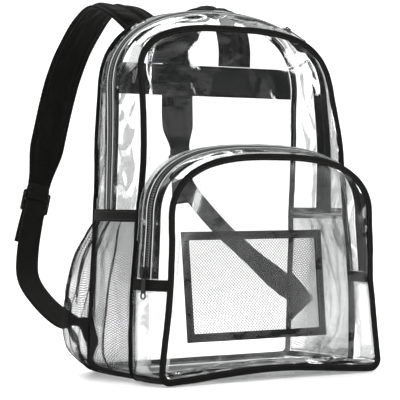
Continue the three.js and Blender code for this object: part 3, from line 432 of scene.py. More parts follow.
# Seam bindings: 8 mm grosgrain tape folded over the film's cut edge and sewn through, once round each
# panel. The tape's ribs run across it, and a row of thread lies near its inner edge on both faces.
tape_material, tree = new_material("woven_polyester_tape")
place = add_node(tree, "ShaderNodeTexCoord")
ribs = add_node(tree, "ShaderNodeTexWave", {"bands_direction": "X"}, {
    "Vector": place.outputs["UV"], "Scale": 300.0, "Distortion": 0.6, "Detail": 1.0, "Detail Scale": 3.0})
cloth_look(tree, ribs, (0.6, 0.0003), 260.0, 4.0, "#050504", "#0f0f0d", 0.75)


def seam_binding(name, seam, lift, fine=8):
    """Tape folded over a panel's edge: a flattened loop in section, a little wavy where it was fed by hand."""
    outline = closed_outline(seam, lift, fine)
    half = BINDING_THICKNESS / 2
    section = [(BINDING_WIDTH, -half * 0.75), (6.6, -half), (6.0, -half * 0.6), (5.4, -half), (1.6, -half),
               (0.5, -half * 0.75), (0, 0), (0.5, half * 0.75), (1.6, half), (5.4, half), (6.0, half * 0.6),
               (6.6, half), (BINDING_WIDTH, half * 0.75)]
    rings = [inset_outline(outline, inset) for inset, _ in section]
    count, width = len(outline), len(section)
    run, across = [0.0], [0.0]
    for i in range(count):
        run.append(run[-1] + (outline[(i + 1) % count] - outline[i]).length)
    for a, b in zip(section, section[1:]):
        across.append(across[-1] + math.dist(a, b))
    points, faces, corners = [], [], []
    for i in range(count):
        middle = outline[i]
        sway = sewn_sway(middle)
        for ring, (_, out) in zip(rings, section):
            p = ring[i]
            points.append(Vector((p.x, seam.depth(p.y) + out + sway, p.y)) / 1000)
    for i in range(count):
        ahead = (i + 1) % count
        for j in range(width):
            k = (j + 1) % width
            faces.append((i * width + j, ahead * width + j, ahead * width + k, i * width + k))
            far = across[k] if k else across[-1] + 2
            corners += [(run[i], across[j]), (run[i + 1], across[j]), (run[i + 1], far), (run[i], far)]
    mesh = mapped_mesh(name, points, faces, corners, tape_material)
    lines = []
    for groove, way in ((2, -1), (10, 1)):
        lines.append([(points[i * width + groove] * 1000, Vector((0, way, 0))) for i in range(count)])
    thread(name, lines, True)
    return finished(name, mesh)


# Sewing thread: bonded polyester, laid in stitches along the groove that it pulls into the tape. One small
# stitch is set again and again along each seam, standing off the cloth.
STITCH_PITCH, COIL_PITCH = 3.0, 3.0
thread_material, tree = new_material("bonded_polyester_thread")
twist = add_node(tree, "ShaderNodeBsdfPrincipled", None, {
    "Base Color": linear("#2c2c28"), "Roughness": 0.45, "Specular IOR Level": 0.4})
show(tree, twist)

seam_tree = bpy.data.node_groups.new("set_along_a_seam", "GeometryNodeTree")
seam_tree.interface.new_socket("Geometry", in_out="INPUT", socket_type="NodeSocketGeometry")
small_socket = seam_tree.interface.new_socket("Small Piece", in_out="INPUT", socket_type="NodeSocketObject")
pitch_socket = seam_tree.interface.new_socket("Pitch", in_out="INPUT", socket_type="NodeSocketFloat")
finish_socket = seam_tree.interface.new_socket("Finish", in_out="INPUT", socket_type="NodeSocketMaterial")
seam_tree.interface.new_socket("Geometry", in_out="OUTPUT", socket_type="NodeSocketGeometry")
given = add_node(seam_tree, "NodeGroupInput")
line = add_node(seam_tree, "GeometryNodeMeshToCurve", None, {"Mesh": given.outputs["Geometry"]})
spaced = add_node(seam_tree, "GeometryNodeResampleCurve", {"mode": "LENGTH"}, {
    "Curve": line.outputs[0], "Length": given.outputs["Pitch"]})
tangent = add_node(seam_tree, "GeometryNodeInputTangent")
outward = add_node(seam_tree, "GeometryNodeInputNamedAttribute", {"data_type": "FLOAT_VECTOR"}, {"Name": "out"})
lie = add_node(seam_tree, "FunctionNodeAlignRotationToVector", {"axis": "Y"}, {"Vector": tangent.outputs[0]})
stand = add_node(seam_tree, "FunctionNodeAlignRotationToVector", {"axis": "Z", "pivot_axis": "Y"}, {
    "Rotation": lie.outputs[0], "Vector": outward.outputs["Attribute"]})
small = add_node(seam_tree, "GeometryNodeObjectInfo", None, {"Object": given.outputs["Small Piece"]})
row = add_node(seam_tree, "GeometryNodeInstanceOnPoints", None, {
    "Points": spaced.outputs[0], "Instance": small.outputs["Geometry"], "Rotation": stand.outputs[0]})
real = add_node(seam_tree, "GeometryNodeRealizeInstances", None, {"Geometry": row.outputs[0]})
coated = add_node(seam_tree, "GeometryNodeSetMaterial", None, {
    "Geometry": real.outputs[0], "Material": given.outputs["Finish"]})
add_node(seam_tree, "NodeGroupOutput", None, {"Geometry": coated.outputs[0]})


def small_piece(name, rings, across=False):
    """A short bar along the seam, through rings that each have a middle, half a width and half a height."""
    points, faces = [], []
    for (x, y, z), wide, high in rings:
        low, top = z - high, z + high
        points += [(x - wide, y, low), (x + wide, y, low), (x + wide, y, top), (x - wide, y, top)]
    for ring in range(len(rings) - 1):
        for q in range(4):
            a, b = ring * 4 + q, ring * 4 + (q + 1) % 4
            faces.append((a, b, b + 4, a + 4))
    faces += [(3, 2, 1, 0), tuple(range(len(points) - 4, len(points)))]
    mesh = bpy.data.meshes.new(name)
    mesh.from_pydata([Vector((p[1], p[0], p[2]) if across else p) / 1000 for p in points], [], faces)
    if signed_volume(mesh) < 0:
        mesh.flip_normals()
    mesh.shade_smooth()
    piece = bpy.data.objects.new(name, mesh)
    bpy.context.scene.collection.objects.link(piece)
    return piece


def grown(name, points, edges, tree, values, outs=None):
    """The mesh that a node tree makes from a plan of points and edges."""
    mesh = bpy.data.meshes.new(name + "_plan")
    mesh.from_pydata(points, edges, [])
    if outs:
        mesh.attributes.new("out", "FLOAT_VECTOR", "POINT").data.foreach_set("vector", outs)
    plan = bpy.data.objects.new(name + "_plan", mesh)
    bpy.context.scene.collection.objects.link(plan)
    modifier = plan.modifiers.new("grown", "NODES")
    modifier.node_group = tree
    for socket, value in values:
        modifier[socket.identifier] = value
    made = bpy.data.meshes.new_from_object(plan.evaluated_get(bpy.context.evaluated_depsgraph_get()))
    made.name = "sewn_" + name
    bpy.data.objects.remove(plan)
    return made


def along_seam(name, lines, small, pitch, material, closed=False):
    """Sets a small piece along lines of (place, way out) pairs in millimetres."""
    points, outs, edges = [], [], []
    for line in lines:
        first = len(points)
        points += [place / 1000 for place, _ in line]
        outs += [value for _, out in line for value in out]
        edges += [(first + i, first + i + 1) for i in range(len(line) - 1)]
        if closed:
            edges.append((len(points) - 1, first))
    values = [(small_socket, small), (pitch_socket, pitch / 1000), (finish_socket, material)]
    made = grown(name, points, edges, seam_tree, values, outs)
    bpy.data.objects.remove(small)
    return finished(name, made)


def thread(name, lines, closed=False):
    stitch = small_piece("stitch", [((0, -1.1, -0.05), 0.1, 0.05), ((0, 0, 0.12), 0.24, 0.2),
                                    ((0, 1.1, -0.05), 0.1, 0.05)])
    return along_seam(name + "_thread", lines, stitch, STITCH_PITCH, thread_material, closed)


seam_binding("back_binding", back_seam, 0)


# Front panel: the same film, flat where the pocket covers it, and dented below the arch where the empty
# bag's top leans back over it.
FRONT_FOLDS = [
    {"across": 0.06, "up": 0.93, "wide": 0.09, "high": 0.07, "deep": 9},
    {"across": 0.24, "up": 0.9, "wide": 0.1, "high": 0.05, "deep": -5},
    {"across": 0.7, "up": 0.88, "wide": 0.16, "high": 0.06, "deep": -3},
    {"across": 0.97, "up": 0.9, "wide": 0.06, "high": 0.1, "deep": 4},
]
POCKET_SHOULDER = 180
POCKET_FRONT_TOP, POCKET_ZIPPER_TOP, POCKET_REAR_TOP = 262, 270, 277


def fold_depth(folds, across, up):
    depth = 0
    for fold in folds:
        x, z = (across - fold["across"]) / fold["wide"], (up - fold["up"]) / fold["high"]
        depth += fold["deep"] * math.exp(-x * x - z * z)
    return depth


def front_swell(u, flat, rim_share):
    above = ease((flat.y - POCKET_REAR_TOP + 6) / 40)
    press = fold_depth(FRONT_FOLDS, u, flat.y / FRONT_TOP)
    loose = 1.3 * ripple(flat.x, 0, flat.y, 60, 11) + 1.4 * crease(flat.x, 0, flat.y, 55, 12)
    return rim_share * (above * (press + loose) + (1 - above) * 0.25 * ripple(flat.x, 0, flat.y, 50, 13))


film_panel("front_panel", front_seam, 0, 8, front_swell)
seam_binding("front_binding", front_seam, 0)


# The arched gusset: two film strips with the main zip between them, eased round the top from one mesh
# pocket's hem to the other.
ZIPPER_TAPE_WIDTH, COIL_WIDTH = 12, 5
ZIPPER_TAPE, FACING_EDGE = 0.9, 0.6
SEAM_CLEAR = BINDING_THICKNESS / 2 + 2 * GAP


class Gusset:
    def __init__(self, front, middle, rear, inset, rear_inset):
        self.front, self.middle, self.rear, self.inset, self.rear_inset = front, middle, rear, inset, rear_inset

    def ribs(self, t):
        found = []
        for seam, inset in ((self.front, self.inset), (self.middle, 0), (self.rear, self.rear_inset)):
            p = outline_at(seam, t, seam.cut + GAP, inset)
            found.append(Vector((p.x, seam.depth(p.y), p.y)))
        found[1].y = (found[0].y + found[2].y) / 2
        return found

    def at(self, t, v):
        a, b, c = self.ribs(t)
        return a * ((1 - v) * (1 - 2 * v)) + b * (4 * v * (1 - v)) + c * (v * (2 * v - 1))

    def depth(self, t):
        a, _, c = self.ribs(t)
        return c.y - a.y

    def frame_at(self, t, v):
        """Place, way along, way across and way out of the gusset."""
        place = self.at(t, v)
        along = (self.at(min(t + 0.002, 1), v) - self.at(max(t - 0.002, 0), v)).normalized()
        across = (self.at(t, v + 0.01) - self.at(t, v - 0.01)).normalized()
        across = (across - along * across.dot(along)).normalized()
        return place, along, across, along.cross(across)


def gusset_strip(name, gusset, start, end, thickness, steps, cols, material,
                 loose=0.0, seed=0, highlight_column=None):
    """A strip from start to end, both distances from the front seam; loose film lies over the zip's tape."""
    rows = []
    for i in range(steps + 1):
        t = i / steps
        depth = gusset.depth(t)
        low, high = start(depth), end(depth)
        row = []
        for j in range(cols + 1):
            s = j / cols
            # The column of cells next to the zip is made narrow: it is the band that carries the painted highlight
            # line.
            if highlight_column is not None and j == (1 if highlight_column == 0 else cols - 1):
                s = HIGHLIGHT_BAND_WIDTH / abs(high - low) if highlight_column == 0 else 1 - HIGHLIGHT_BAND_WIDTH / abs(high - low)
            from_front = mix(low, high, s)
            point, _, _, out = gusset.frame_at(t, from_front / depth)
            if loose:
                give = math.sin(math.pi * s)
                x, y, z = point
                over_top = 0.55 + 0.65 * ease((z - 300) / 90)
                lift = 1.4 * ripple(x, y, z, 30, seed) + 3.2 * crease(x, y * 2.2, z, 38, seed + 3) - 1.3
                lap = ease((TAPE_EDGE + 1.5 - abs(from_front - depth / 2)) / 3)
                point = point + out * (loose * give * lift * over_top + 1.1 * lap)
            row.append(point)
        rows.append(row)
    edge = cut_edge_and_painted_highlight_material if loose else None
    return cloth_piece(name, rows, thickness, material, edge=edge, highlight_column=highlight_column)


body_gusset = Gusset(front_seam, middle_seam, back_seam, SEAM_INSET, SEAM_INSET)
TAPE_EDGE = COIL_WIDTH / 2 + GAP + ZIPPER_TAPE_WIDTH
LAP_EDGE = COIL_WIDTH / 2 + 3
gusset_strip("gusset_front_strip", body_gusset, lambda d: SEAM_CLEAR - 1, lambda d: d / 2 - LAP_EDGE, FILM_DRAWN,
             300, 18, film_material, 1.0, 21, 17)
gusset_strip("gusset_back_strip", body_gusset, lambda d: d / 2 + LAP_EDGE, lambda d: d - SEAM_CLEAR + 1, FILM_DRAWN,
             300, 18, film_material, 1.0, 31, 0)


# The zips: two woven tapes with a spiral coil of nylon sewn along their facing edges. The coil's loops
# are one and a half millimetres apart and lock between each other, but they are drawn three apart and
# bolder, or they would blur to grey at this size.
# The coil is black nylon, but it is given a mid grey base colour, lighter than the nylon's own, so that its loops
# show as light dots: that grey is a painted highlight.
glint_grey_coil_material, tree = new_material("nylon_coil_painted_glint")
glint_grey_nylon = add_node(tree, "ShaderNodeBsdfPrincipled", None, {
    "Base Color": linear("#4c4c4a"), "Roughness": 0.28, "IOR": 1.53})
show(tree, glint_grey_nylon)


def gusset_line(gusset, across, height, first=0.0, steps=260):
    """Places along the gusset at a distance across from its middle, with the way out at each."""
    line = []
    for i in range(steps + 1):
        t = mix(first, 1, i / steps)
        place, _, _, out = gusset.frame_at(t, 0.5 + across / gusset.depth(t))
        line.append((place + out * height, out))
    return line


def zipper(front, coil, rear, gusset):
    gusset_strip(front, gusset, lambda d: d / 2 - TAPE_EDGE, lambda d: d / 2 - FACING_EDGE, ZIPPER_TAPE,
                 240, 6, tape_material)
    gusset_strip(rear, gusset, lambda d: d / 2 + FACING_EDGE, lambda d: d / 2 + TAPE_EDGE, ZIPPER_TAPE,
                 240, 6, tape_material)
    loop = small_piece("coil_loop", [((0, -1.5, -0.1), 0.4, 0.35), ((0, -0.9, 0.9), 0.55, 0.5),
                                     ((0, 0.7, 1.1), 0.62, 0.55), ((0, 1.5, 0.7), 0.5, 0.45)], across=True)
    facing = small_piece("facing_loop", [((0, 1.5, -0.1), 0.4, 0.35), ((0, 0.9, 0.9), 0.55, 0.5),
                                         ((0, -0.7, 1.1), 0.62, 0.55), ((0, -1.5, 0.7), 0.5, 0.45)], across=True)
    along_seam(coil, [gusset_line(gusset, -0.9, 0)], loop, COIL_PITCH, glint_grey_coil_material)
    along_seam(coil + "_facing_loops", [gusset_line(gusset, 0.9, 0, 0.0018)], facing, COIL_PITCH,
               glint_grey_coil_material)
    thread(coil, [gusset_line(gusset, side * across, 0.5) for side in (-1, 1) for across in (3.4, 4.6)])
    thread(front, [gusset_line(gusset, side * (LAP_EDGE + 3), 1.6) for side in (-1, 1)])


zipper("main_zipper_front_tape", "main_zipper_coil", "main_zipper_back_tape", body_gusset)


# Side and bottom walls of the main compartment: film again, with tape over the seam where they meet.
BINDING_RISE, SIDE_FOOT = 6.2, 11


def side_surface(front, middle, rear, inset, rear_inset):
    def at(side, z, v):
        a, b, c = front.half(z) - inset, middle.half(z), rear.half(z) - rear_inset
        out = a * (1 - v) * (1 - 2 * v) + b * 4 * v * (1 - v) + c * v * (2 * v - 1)
        return Vector((side * out, mix(front.depth(z), rear.depth(z), v), z))
    return at


def clear_of(surface, z, clear_front, clear_rear, share):
    depth = surface(1, z, 1).y - surface(1, z, 0).y
    return mix(clear_front / depth, 1 - clear_rear / depth, share)


def side_wall(name, surface, side, low, high, clear_front, clear_rear, thickness, rows, cols, material,
              out=0.0, loose=0.0, seed=0):
    cells = []
    for i in range(rows + 1):
        z = mix(low, high, i / rows)
        row = []
        for j in range(cols + 1):
            s = j / cols
            point = surface(side, z, clear_of(surface, z, clear_front, clear_rear, s))
            give = math.sin(math.pi * s) * min(1, 4 * i / rows, 4 * (rows - i) / rows)
            point.x += side * (out + loose * give * ripple(point.x, point.y, point.z, 38, seed))
            row.append(point)
        cells.append(row)
    return cloth_piece(name, cells, thickness, material)


def bottom_binding(name, surface, side, clear_front, clear_rear):
    half = BINDING_WIDTH * math.sqrt(0.5) / 2
    cells = []
    for i in range(41):
        row = []
        share = clear_of(surface, BINDING_RISE, clear_front, clear_rear, i / 40)
        for j in range(5):
            point = surface(side, BINDING_RISE, share)
            lean = mix(-half, half, j / 4)
            point.x += side * (lean - 3)
            point.z += lean
            row.append(point)
        cells.append(row)
    cloth_piece(name, cells, lambda i, j: BINDING_THICKNESS * (0.7 if j in (0, 4) else 1), tape_material)


# Film that the bag stands on is scuffed to a pale haze, in patches with clearer lines between them.
scuffed_material, tree = new_material("scuffed_pvc_film")
place = add_node(tree, "ShaderNodeTexCoord")
scuffs = add_node(tree, "ShaderNodeTexNoise", None, {
    "Vector": place.outputs["Object"], "Scale": 26.0, "Detail": 2.0, "Distortion": 0.6})
worn = smooth_ramp(tree, scuffs.outputs[0], 0.42, 0.5, 0.03, 0.16)
film_look(tree, scuffs, 0.15, "#e8eaea", worn, 0.15, 0.3, 0)


def bottom_panel(name, surface, clear_front, clear_rear, front_lift, seed):
    cells = []
    for i in range(61):
        u = i / 60
        row = []
        for j in range(33):
            s = j / 32
            edge = surface(1, BINDING_RISE, clear_of(surface, BINDING_RISE, clear_front, clear_rear, s))
            half = edge.x - 7.5
            x = mix(-half, half, u)
            seam_height = 3.4 + front_lift * (1 - s) * max(math.sin(math.pi * u), 0) ** 1.5
            rise_u, rise_s = 1 - ease(min(u, 1 - u) / 0.16), 1 - ease(min(s, 1 - s) / 0.16)
            z = 0.5 + seam_height * max(rise_u * 0.6, rise_s) * 0.9
            z += 0.5 * max(0, ripple(x, edge.y, 0, 32, seed))
            z += 1.6 * rise_s * max(0, ripple(x, edge.y, 0, 34, seed + 1))
            row.append(Vector((x, edge.y, z)))
        cells.append(row)
    cloth_piece(name, cells, 0.8, scuffed_material)


body_side = side_surface(front_seam, middle_seam, back_seam, SEAM_INSET, SEAM_INSET)
for label, side in (("left", -1), ("right", 1)):
    side_wall(f"{label}_side_panel", body_side, side, SIDE_FOOT, HEM_MIDDLE, SEAM_CLEAR, SEAM_CLEAR,
              FILM_DRAWN, 40, 28, film_material, 0, 0.3, 41 + side)
    bottom_binding(f"{label}_bottom_binding", body_side, side, SEAM_CLEAR, SEAM_CLEAR)
bottom_panel("bottom_panel", body_side, SEAM_CLEAR, SEAM_CLEAR, 0, 51)


# Front pocket: a shallow box of film on the front panel, with its own arched zip, and short black patches
# sewn across the zip's ends.
POCKET_DEPTH, POCKET_HALF_WIDTH = 60, 157
POCKET_ARCH_LIFT = 8
PATCH_BOTTOM, PATCH_TOP = 106, 119
POCKET_REAR_Y = -BODY_DEPTH / 2 - BINDING_THICKNESS / 2 - 2 * GAP
POCKET_FRONT_Y = -BODY_DEPTH / 2 - POCKET_DEPTH
POCKET_FOLDS = [
    {"across": 0.08, "up": 0.8, "wide": 0.08, "high": 0.12, "deep": 5},
    {"across": 0.5, "up": 0.5, "wide": 0.4, "high": 0.4, "deep": -4},
    {"across": 0.93, "up": 0.75, "wide": 0.08, "high": 0.14, "deep": 3},
    {"across": 0.3, "up": 0.06, "wide": 0.25, "high": 0.05, "deep": -3},
]
pocket_seam = Seam("pocket", POCKET_HALF_WIDTH, PATCH_TOP, POCKET_SHOULDER, POCKET_FRONT_TOP, 2.7,
                   lambda z: POCKET_FRONT_Y)
pocket_middle = Seam("pocket", 0, PATCH_TOP, POCKET_SHOULDER, POCKET_ZIPPER_TOP, 2.7, lambda z: 0,
                     lambda z: (pocket_seam.half(z) + front_seam.half(z)) / 2 + 2)
pocket_rear = Seam("pocket", 0, PATCH_TOP, POCKET_SHOULDER, POCKET_REAR_TOP, 2.7, lambda z: POCKET_REAR_Y,
                   front_seam.half)


def pocket_swell(u, flat, rim_share):
    press = fold_depth(POCKET_FOLDS, u, flat.y / POCKET_FRONT_TOP)
    low = ease(1 - flat.y / 70)
    loose = 1.2 * ripple(flat.x, 0, flat.y, 70, 61) + 0.5 * crease(flat.x, 0, flat.y, 80, 62)
    loose += low * (3.0 * crease(flat.x, 0, flat.y * 2, 40, 63) + 1.5 * ripple(flat.x, 0, flat.y * 2, 22, 64))
    return -rim_share * (press + loose)


film_panel("pocket_front_panel", pocket_seam, POCKET_ARCH_LIFT, 8, pocket_swell)
seam_binding("pocket_binding", pocket_seam, POCKET_ARCH_LIFT)
pocket_gusset = Gusset(pocket_seam, pocket_middle, pocket_rear, SEAM_INSET, BINDING_WIDTH / 2)
gusset_strip("pocket_front_strip", pocket_gusset, lambda d: SEAM_CLEAR - 1, lambda d: d / 2 - LAP_EDGE, FILM_DRAWN,
             260, 12, film_material, 0.8, 71, 11)
gusset_strip("pocket_rear_strip", pocket_gusset, lambda d: d / 2 + LAP_EDGE, lambda d: d, FILM_DRAWN,
             260, 12, film_material, 0.8, 81, 0)
zipper("pocket_zipper_front_tape", "pocket_zipper_coil", "pocket_zipper_rear_tape", pocket_gusset)
pocket_side = side_surface(pocket_seam, pocket_middle, pocket_rear, SEAM_INSET, BINDING_WIDTH / 2)
for label, side in (("left", -1), ("right", 1)):
    side_wall(f"pocket_{label}_side_panel", pocket_side, side, SIDE_FOOT, PATCH_BOTTOM, SEAM_CLEAR, 0,
              FILM_DRAWN, 24, 16, film_material, 0, 1.2, 91 + side)
    side_wall(f"pocket_{label}_end_patch", pocket_side, side, PATCH_BOTTOM, PATCH_TOP, SEAM_CLEAR, 0,
              1.2, 6, 16, tape_material, 0.2)
    bottom_binding(f"pocket_{label}_bottom_binding", pocket_side, side, SEAM_CLEAR, GAP)
bottom_panel("pocket_bottom_panel", pocket_side, SEAM_CLEAR, GAP, POCKET_ARCH_LIFT, 53)


# Organiser: a flat net pocket on the front panel inside the front pocket, edged with 10 mm tape.
ORGANISER_WIDTH, ORGANISER_TAPE = 200, 10
ORGANISER_TOP, ORGANISER_FOOT = 171, 41
ORGANISER_SHIFT_TOP, ORGANISER_SHIFT_FOOT = 8, 17
ORGANISER_Y = -BODY_DEPTH / 2 - FILM / 2 - GAP - 0.6


def organiser_point(u, v, inset, y):
    z = mix(ORGANISER_FOOT + inset, ORGANISER_TOP - inset, v)
    share = (z - ORGANISER_FOOT) / (ORGANISER_TOP - ORGANISER_FOOT)
    half = ORGANISER_WIDTH / 2 - inset
    return Vector((mix(ORGANISER_SHIFT_FOOT, ORGANISER_SHIFT_TOP, share) + mix(-half, half, u), y, z))


def round_organiser(steps):
    """Shares across and up, once round the organiser, in steps to a side."""
    corners = [(0, 0), (0, 1), (1, 1), (1, 0)]
    for (u, v), (next_u, next_v) in zip(corners, corners[1:] + corners[:1]):
        for i in range(steps):
            yield mix(u, next_u, i / steps), mix(v, next_v, i / steps)


frame_rows = [[organiser_point(u, v, mix(0, ORGANISER_TAPE, j / 4), ORGANISER_Y) for j in range(5)]
              for u, v in round_organiser(24)]
cloth_piece("organiser_binding", frame_rows, 1.2, tape_material, closed=True)
sewn_line = [(organiser_point(u, v, ORGANISER_TAPE - 2, ORGANISER_Y - 0.7), Vector((0, -1, 0)))
             for u, v in round_organiser(30)]
thread("organiser_binding", [sewn_line], True)

# Warp-knitted net: fine black polyester threads that cross on the bias. Its holes are drawn three to four
# millimetres from corner to corner, which is coarser than the real net, and its threads bolder, to show.
net_material, tree = new_material("knitted_polyester_net")
place = add_node(tree, "ShaderNodeTexCoord")
fuzz = add_node(tree, "ShaderNodeTexNoise", None, {"Vector": place.outputs["Object"], "Scale": 900.0})
shade = add_node(tree, "ShaderNodeMix", {"data_type": "RGBA"}, {
    "Factor": fuzz.outputs[0], "A": linear("#060606"), "B": linear("#141413")})
knit = add_node(tree, "ShaderNodeBsdfPrincipled", None, {
    "Base Color": shade.outputs["Result"], "Roughness": 0.7, "Specular IOR Level": 0.2})
show(tree, knit)

net_tree = bpy.data.node_groups.new("net_threads", "GeometryNodeTree")
net_tree.interface.new_socket("Geometry", in_out="INPUT", socket_type="NodeSocketGeometry")
radius_socket = net_tree.interface.new_socket("Thread Radius", in_out="INPUT", socket_type="NodeSocketFloat")
material_socket = net_tree.interface.new_socket("Thread", in_out="INPUT", socket_type="NodeSocketMaterial")
net_tree.interface.new_socket("Geometry", in_out="OUTPUT", socket_type="NodeSocketGeometry")
given = add_node(net_tree, "NodeGroupInput")
lines = add_node(net_tree, "GeometryNodeMeshToCurve", None, {"Mesh": given.outputs["Geometry"]})
section = add_node(net_tree, "GeometryNodeCurvePrimitiveCircle", None, {
    "Resolution": 3, "Radius": given.outputs["Thread Radius"]})
threads = add_node(net_tree, "GeometryNodeCurveToMesh", None, {
    "Curve": lines.outputs[0], "Profile Curve": section.outputs[0], "Fill Caps": True})
real = add_node(net_tree, "GeometryNodeRealizeInstances", None, {"Geometry": threads.outputs[0]})
coated = add_node(net_tree, "GeometryNodeSetMaterial", None, {
    "Geometry": real.outputs[0], "Material": given.outputs["Thread"]})
add_node(net_tree, "NodeGroupOutput", None, {"Geometry": coated.outputs[0]})


def net_piece(name, at, rows, cols, thread_radius):
    """Threads that cross on the bias over a surface; at(u, v) gives its points in millimetres."""
    points, edges, index = [], [], {}
    for i in range(rows + 1):
        for j in range(cols + 1):
            if (i + j) % 2 == 0:
                index[i, j] = len(points)
                points.append(at(j / cols, i / rows) / 1000)
    for i, j in index:
        for step in (-1, 1):
            if (i + 1, j + step) in index:
                edges.append((index[i, j], index[i + 1, j + step]))
    for i in range(0, rows - 1, 2):
        for j in (0, cols):
            if (i, j) in index and (i + 2, j) in index:
                edges.append((index[i, j], index[i + 2, j]))
    for j in range(0, cols - 1, 2):
        for i in (0, rows):
            if (i, j) in index and (i, j + 2) in index:
                edges.append((index[i, j], index[i, j + 2]))
    values = [(radius_socket, thread_radius / 1000), (material_socket, net_material)]
    return finished(name, grown(name, points, edges, net_tree, values))


organiser_net = net_piece("organiser_mesh", lambda u, v: organiser_point(u, v, ORGANISER_TAPE - 1, ORGANISER_Y),
                          56, 92, 0.32)


# Mesh side pockets: the same net, cut wider than the side and gathered into an elastic hem, so that it
# falls in long folds and stands out towards the back.
MESH_PLAN_ROWS = [
    {"along": 0, "out": 0}, {"along": 0.04, "out": 0.72}, {"along": 0.13, "out": 1}, {"along": 0.35, "out": 0.9},
    {"along": 0.65, "out": 0.62}, {"along": 0.88, "out": 0.34}, {"along": 1, "out": 0},
]
MESH_RISE_ROWS = [
    {"up": 0, "out": 0.1}, {"up": 0.07, "out": 0.5}, {"up": 0.16, "out": 0.86}, {"up": 0.36, "out": 1},
    {"up": 0.6, "out": 0.8}, {"up": 0.78, "out": 0.58}, {"up": 0.93, "out": 0.2}, {"up": 1, "out": 0},
]
MESH_GATHERS = [
    {"foot": 0.2, "hem": 0.36, "deep": 6, "width": 0.035},
    {"foot": 0.36, "hem": 0.6, "deep": 6, "width": 0.035},
    {"foot": 0.7, "hem": 0.85, "deep": 4, "width": 0.03},
]
MESH_BULGE, MESH_FOOT = 40, 5
HEM_OUT, MESH_EDGE_OUT = 2.7, 3.4
MESH_CLEAR = SEAM_CLEAR + 1.2


# Where the gathered net doubles back on itself, it reads as a dark line. Each fold runs from the hem down
# through places of (height, share from the back seam), with its width and how often it turns back.
LEFT_FOLDS = [
    ([(0.02, 0.3), (0.18, 0.42), (0.54, 0.17), (1, 0.06)], 13, 2),
    ([(0.44, 0.41), (0.5, 0.4), (1, 0.33)], 4.6, 3),
    ([(0.12, 0.6), (0.22, 0.6), (0.34, 0.63), (0.61, 0.64), (0.8, 0.55), (1, 0.58)], 4.4, 3),
    ([(0.02, 0.75), (0.05, 0.76), (0.41, 0.84), (0.7, 0.84), (0.75, 0.83), (1, 0.79)], 3, 2),
]
RIGHT_FOLDS = [
    ([(0.06, 0.36), (0.1, 0.34), (1, 0.32)], 5, 2),
    ([(0.32, 0.8), (0.35, 0.8), (1, 0.77)], 3.6, 2),
    ([(0.04, 0.93), (0.5, 0.92), (1, 0.94)], 5, 2),
]
CUT_WIDTH = 175


def fold_at(route, v):
    """Share from the back seam where a fold's route crosses a height, and how open the fold is there."""
    (low, first), (high, last) = route[0], route[-1]
    if v <= low:
        return first, 0
    for (v0, u0), (v1, u1) in zip(route, route[1:]):
        if v <= v1:
            return mix(u0, u1, (v - v0) / (v1 - v0)), ease((v - low) / 0.12)
    return last, 1


def folded(folds, u, v):
    """Where a place of the flat net comes to lie once it is folded, and how far it is lifted there."""
    found = [(*fold_at(route, v), width, turns) for route, width, turns in folds]
    taken = sum(2 * turns * width * shut for _, shut, width, turns in found)
    run, lift = u * (CUT_WIDTH + taken), 0
    for at, shut, width, turns in found:
        wide = width * shut
        past = run - at * CUT_WIDTH + wide / 2
        if past <= 0 or wide < 0.3:
            continue
        layers = past / wide
        if layers < 2 * turns + 1:
            turn = int(layers)
            inside = layers - turn if turn % 2 == 0 else turn + 1 - layers
            return (at * CUT_WIDTH - wide / 2 + inside * wide) / CUT_WIDTH, lift + 0.6 * layers * shut
        run -= 2 * turns * wide
        lift += 0.6 * (2 * turns + 1) * shut * (1 - ease((past / wide - 2 * turns - 1) * wide / 12))
    return run / CUT_WIDTH, lift


def pocket_point(side, u, v):
    """A point of the mesh pocket: u from the back seam forwards, v from the foot to the hem."""
    u, lift = folded(LEFT_FOLDS if side < 0 else RIGHT_FOLDS, u, v)
    u = min(max(u, 0), 1)
    z = mix(MESH_FOOT, HEM_TOP - HEM_HEIGHT + 1, v)
    point = body_side(side, z, clear_of(body_side, z, MESH_CLEAR, MESH_CLEAR, 1 - u))
    bulge = MESH_BULGE * read_row(MESH_PLAN_ROWS, "along", u, "out")
    bulge *= read_row(MESH_RISE_ROWS, "up", v, "out")
    gather = 0
    for row in MESH_GATHERS:
        reach = (u - mix(row["foot"], row["hem"], v)) / row["width"]
        gather += row["deep"] * math.exp(-reach * reach) * math.sin(math.pi * v)
    swell = 1.6 * math.sin(u * 46 + 3 * noise.noise(Vector((u * 3, v * 2, side))))
    swell *= (0.25 + 0.75 * v) * min(1, 5 * (1 - v) + 0.4) * min(1, 10 * u, 10 * (1 - u))
    seat = mix(MESH_EDGE_OUT, HEM_OUT, v ** 4)
    lift *= min(1, 12 * (1 - v) + 0.15)
    point.x += side * max(seat + max(bulge - min(gather, bulge), 0) + swell * 0.8 + lift, 2.2)
    return point


for label, side in (("left", -1), ("right", 1)):
    net = net_piece(f"{label}_mesh_pocket", lambda u, v: pocket_point(side, u, v), 124, 104, 0.28)
    side_wall(f"{label}_mesh_hem", body_side, side, HEM_TOP - HEM_HEIGHT, HEM_TOP, SEAM_CLEAR, SEAM_CLEAR,
              1.6, 6, 60, tape_material, HEM_OUT)
    lines = []
    for z in (HEM_TOP - 2.5, HEM_TOP - HEM_HEIGHT + 2.5):
        line = []
        for j in range(41):
            place = body_side(side, z, clear_of(body_side, z, SEAM_CLEAR + 1, SEAM_CLEAR + 1, j / 40))
            line.append((place + Vector((side * (HEM_OUT + 0.85), 0, 0)), Vector((side, 0, 0))))
        lines.append(line)
    thread(f"{label}_mesh_hem", lines)


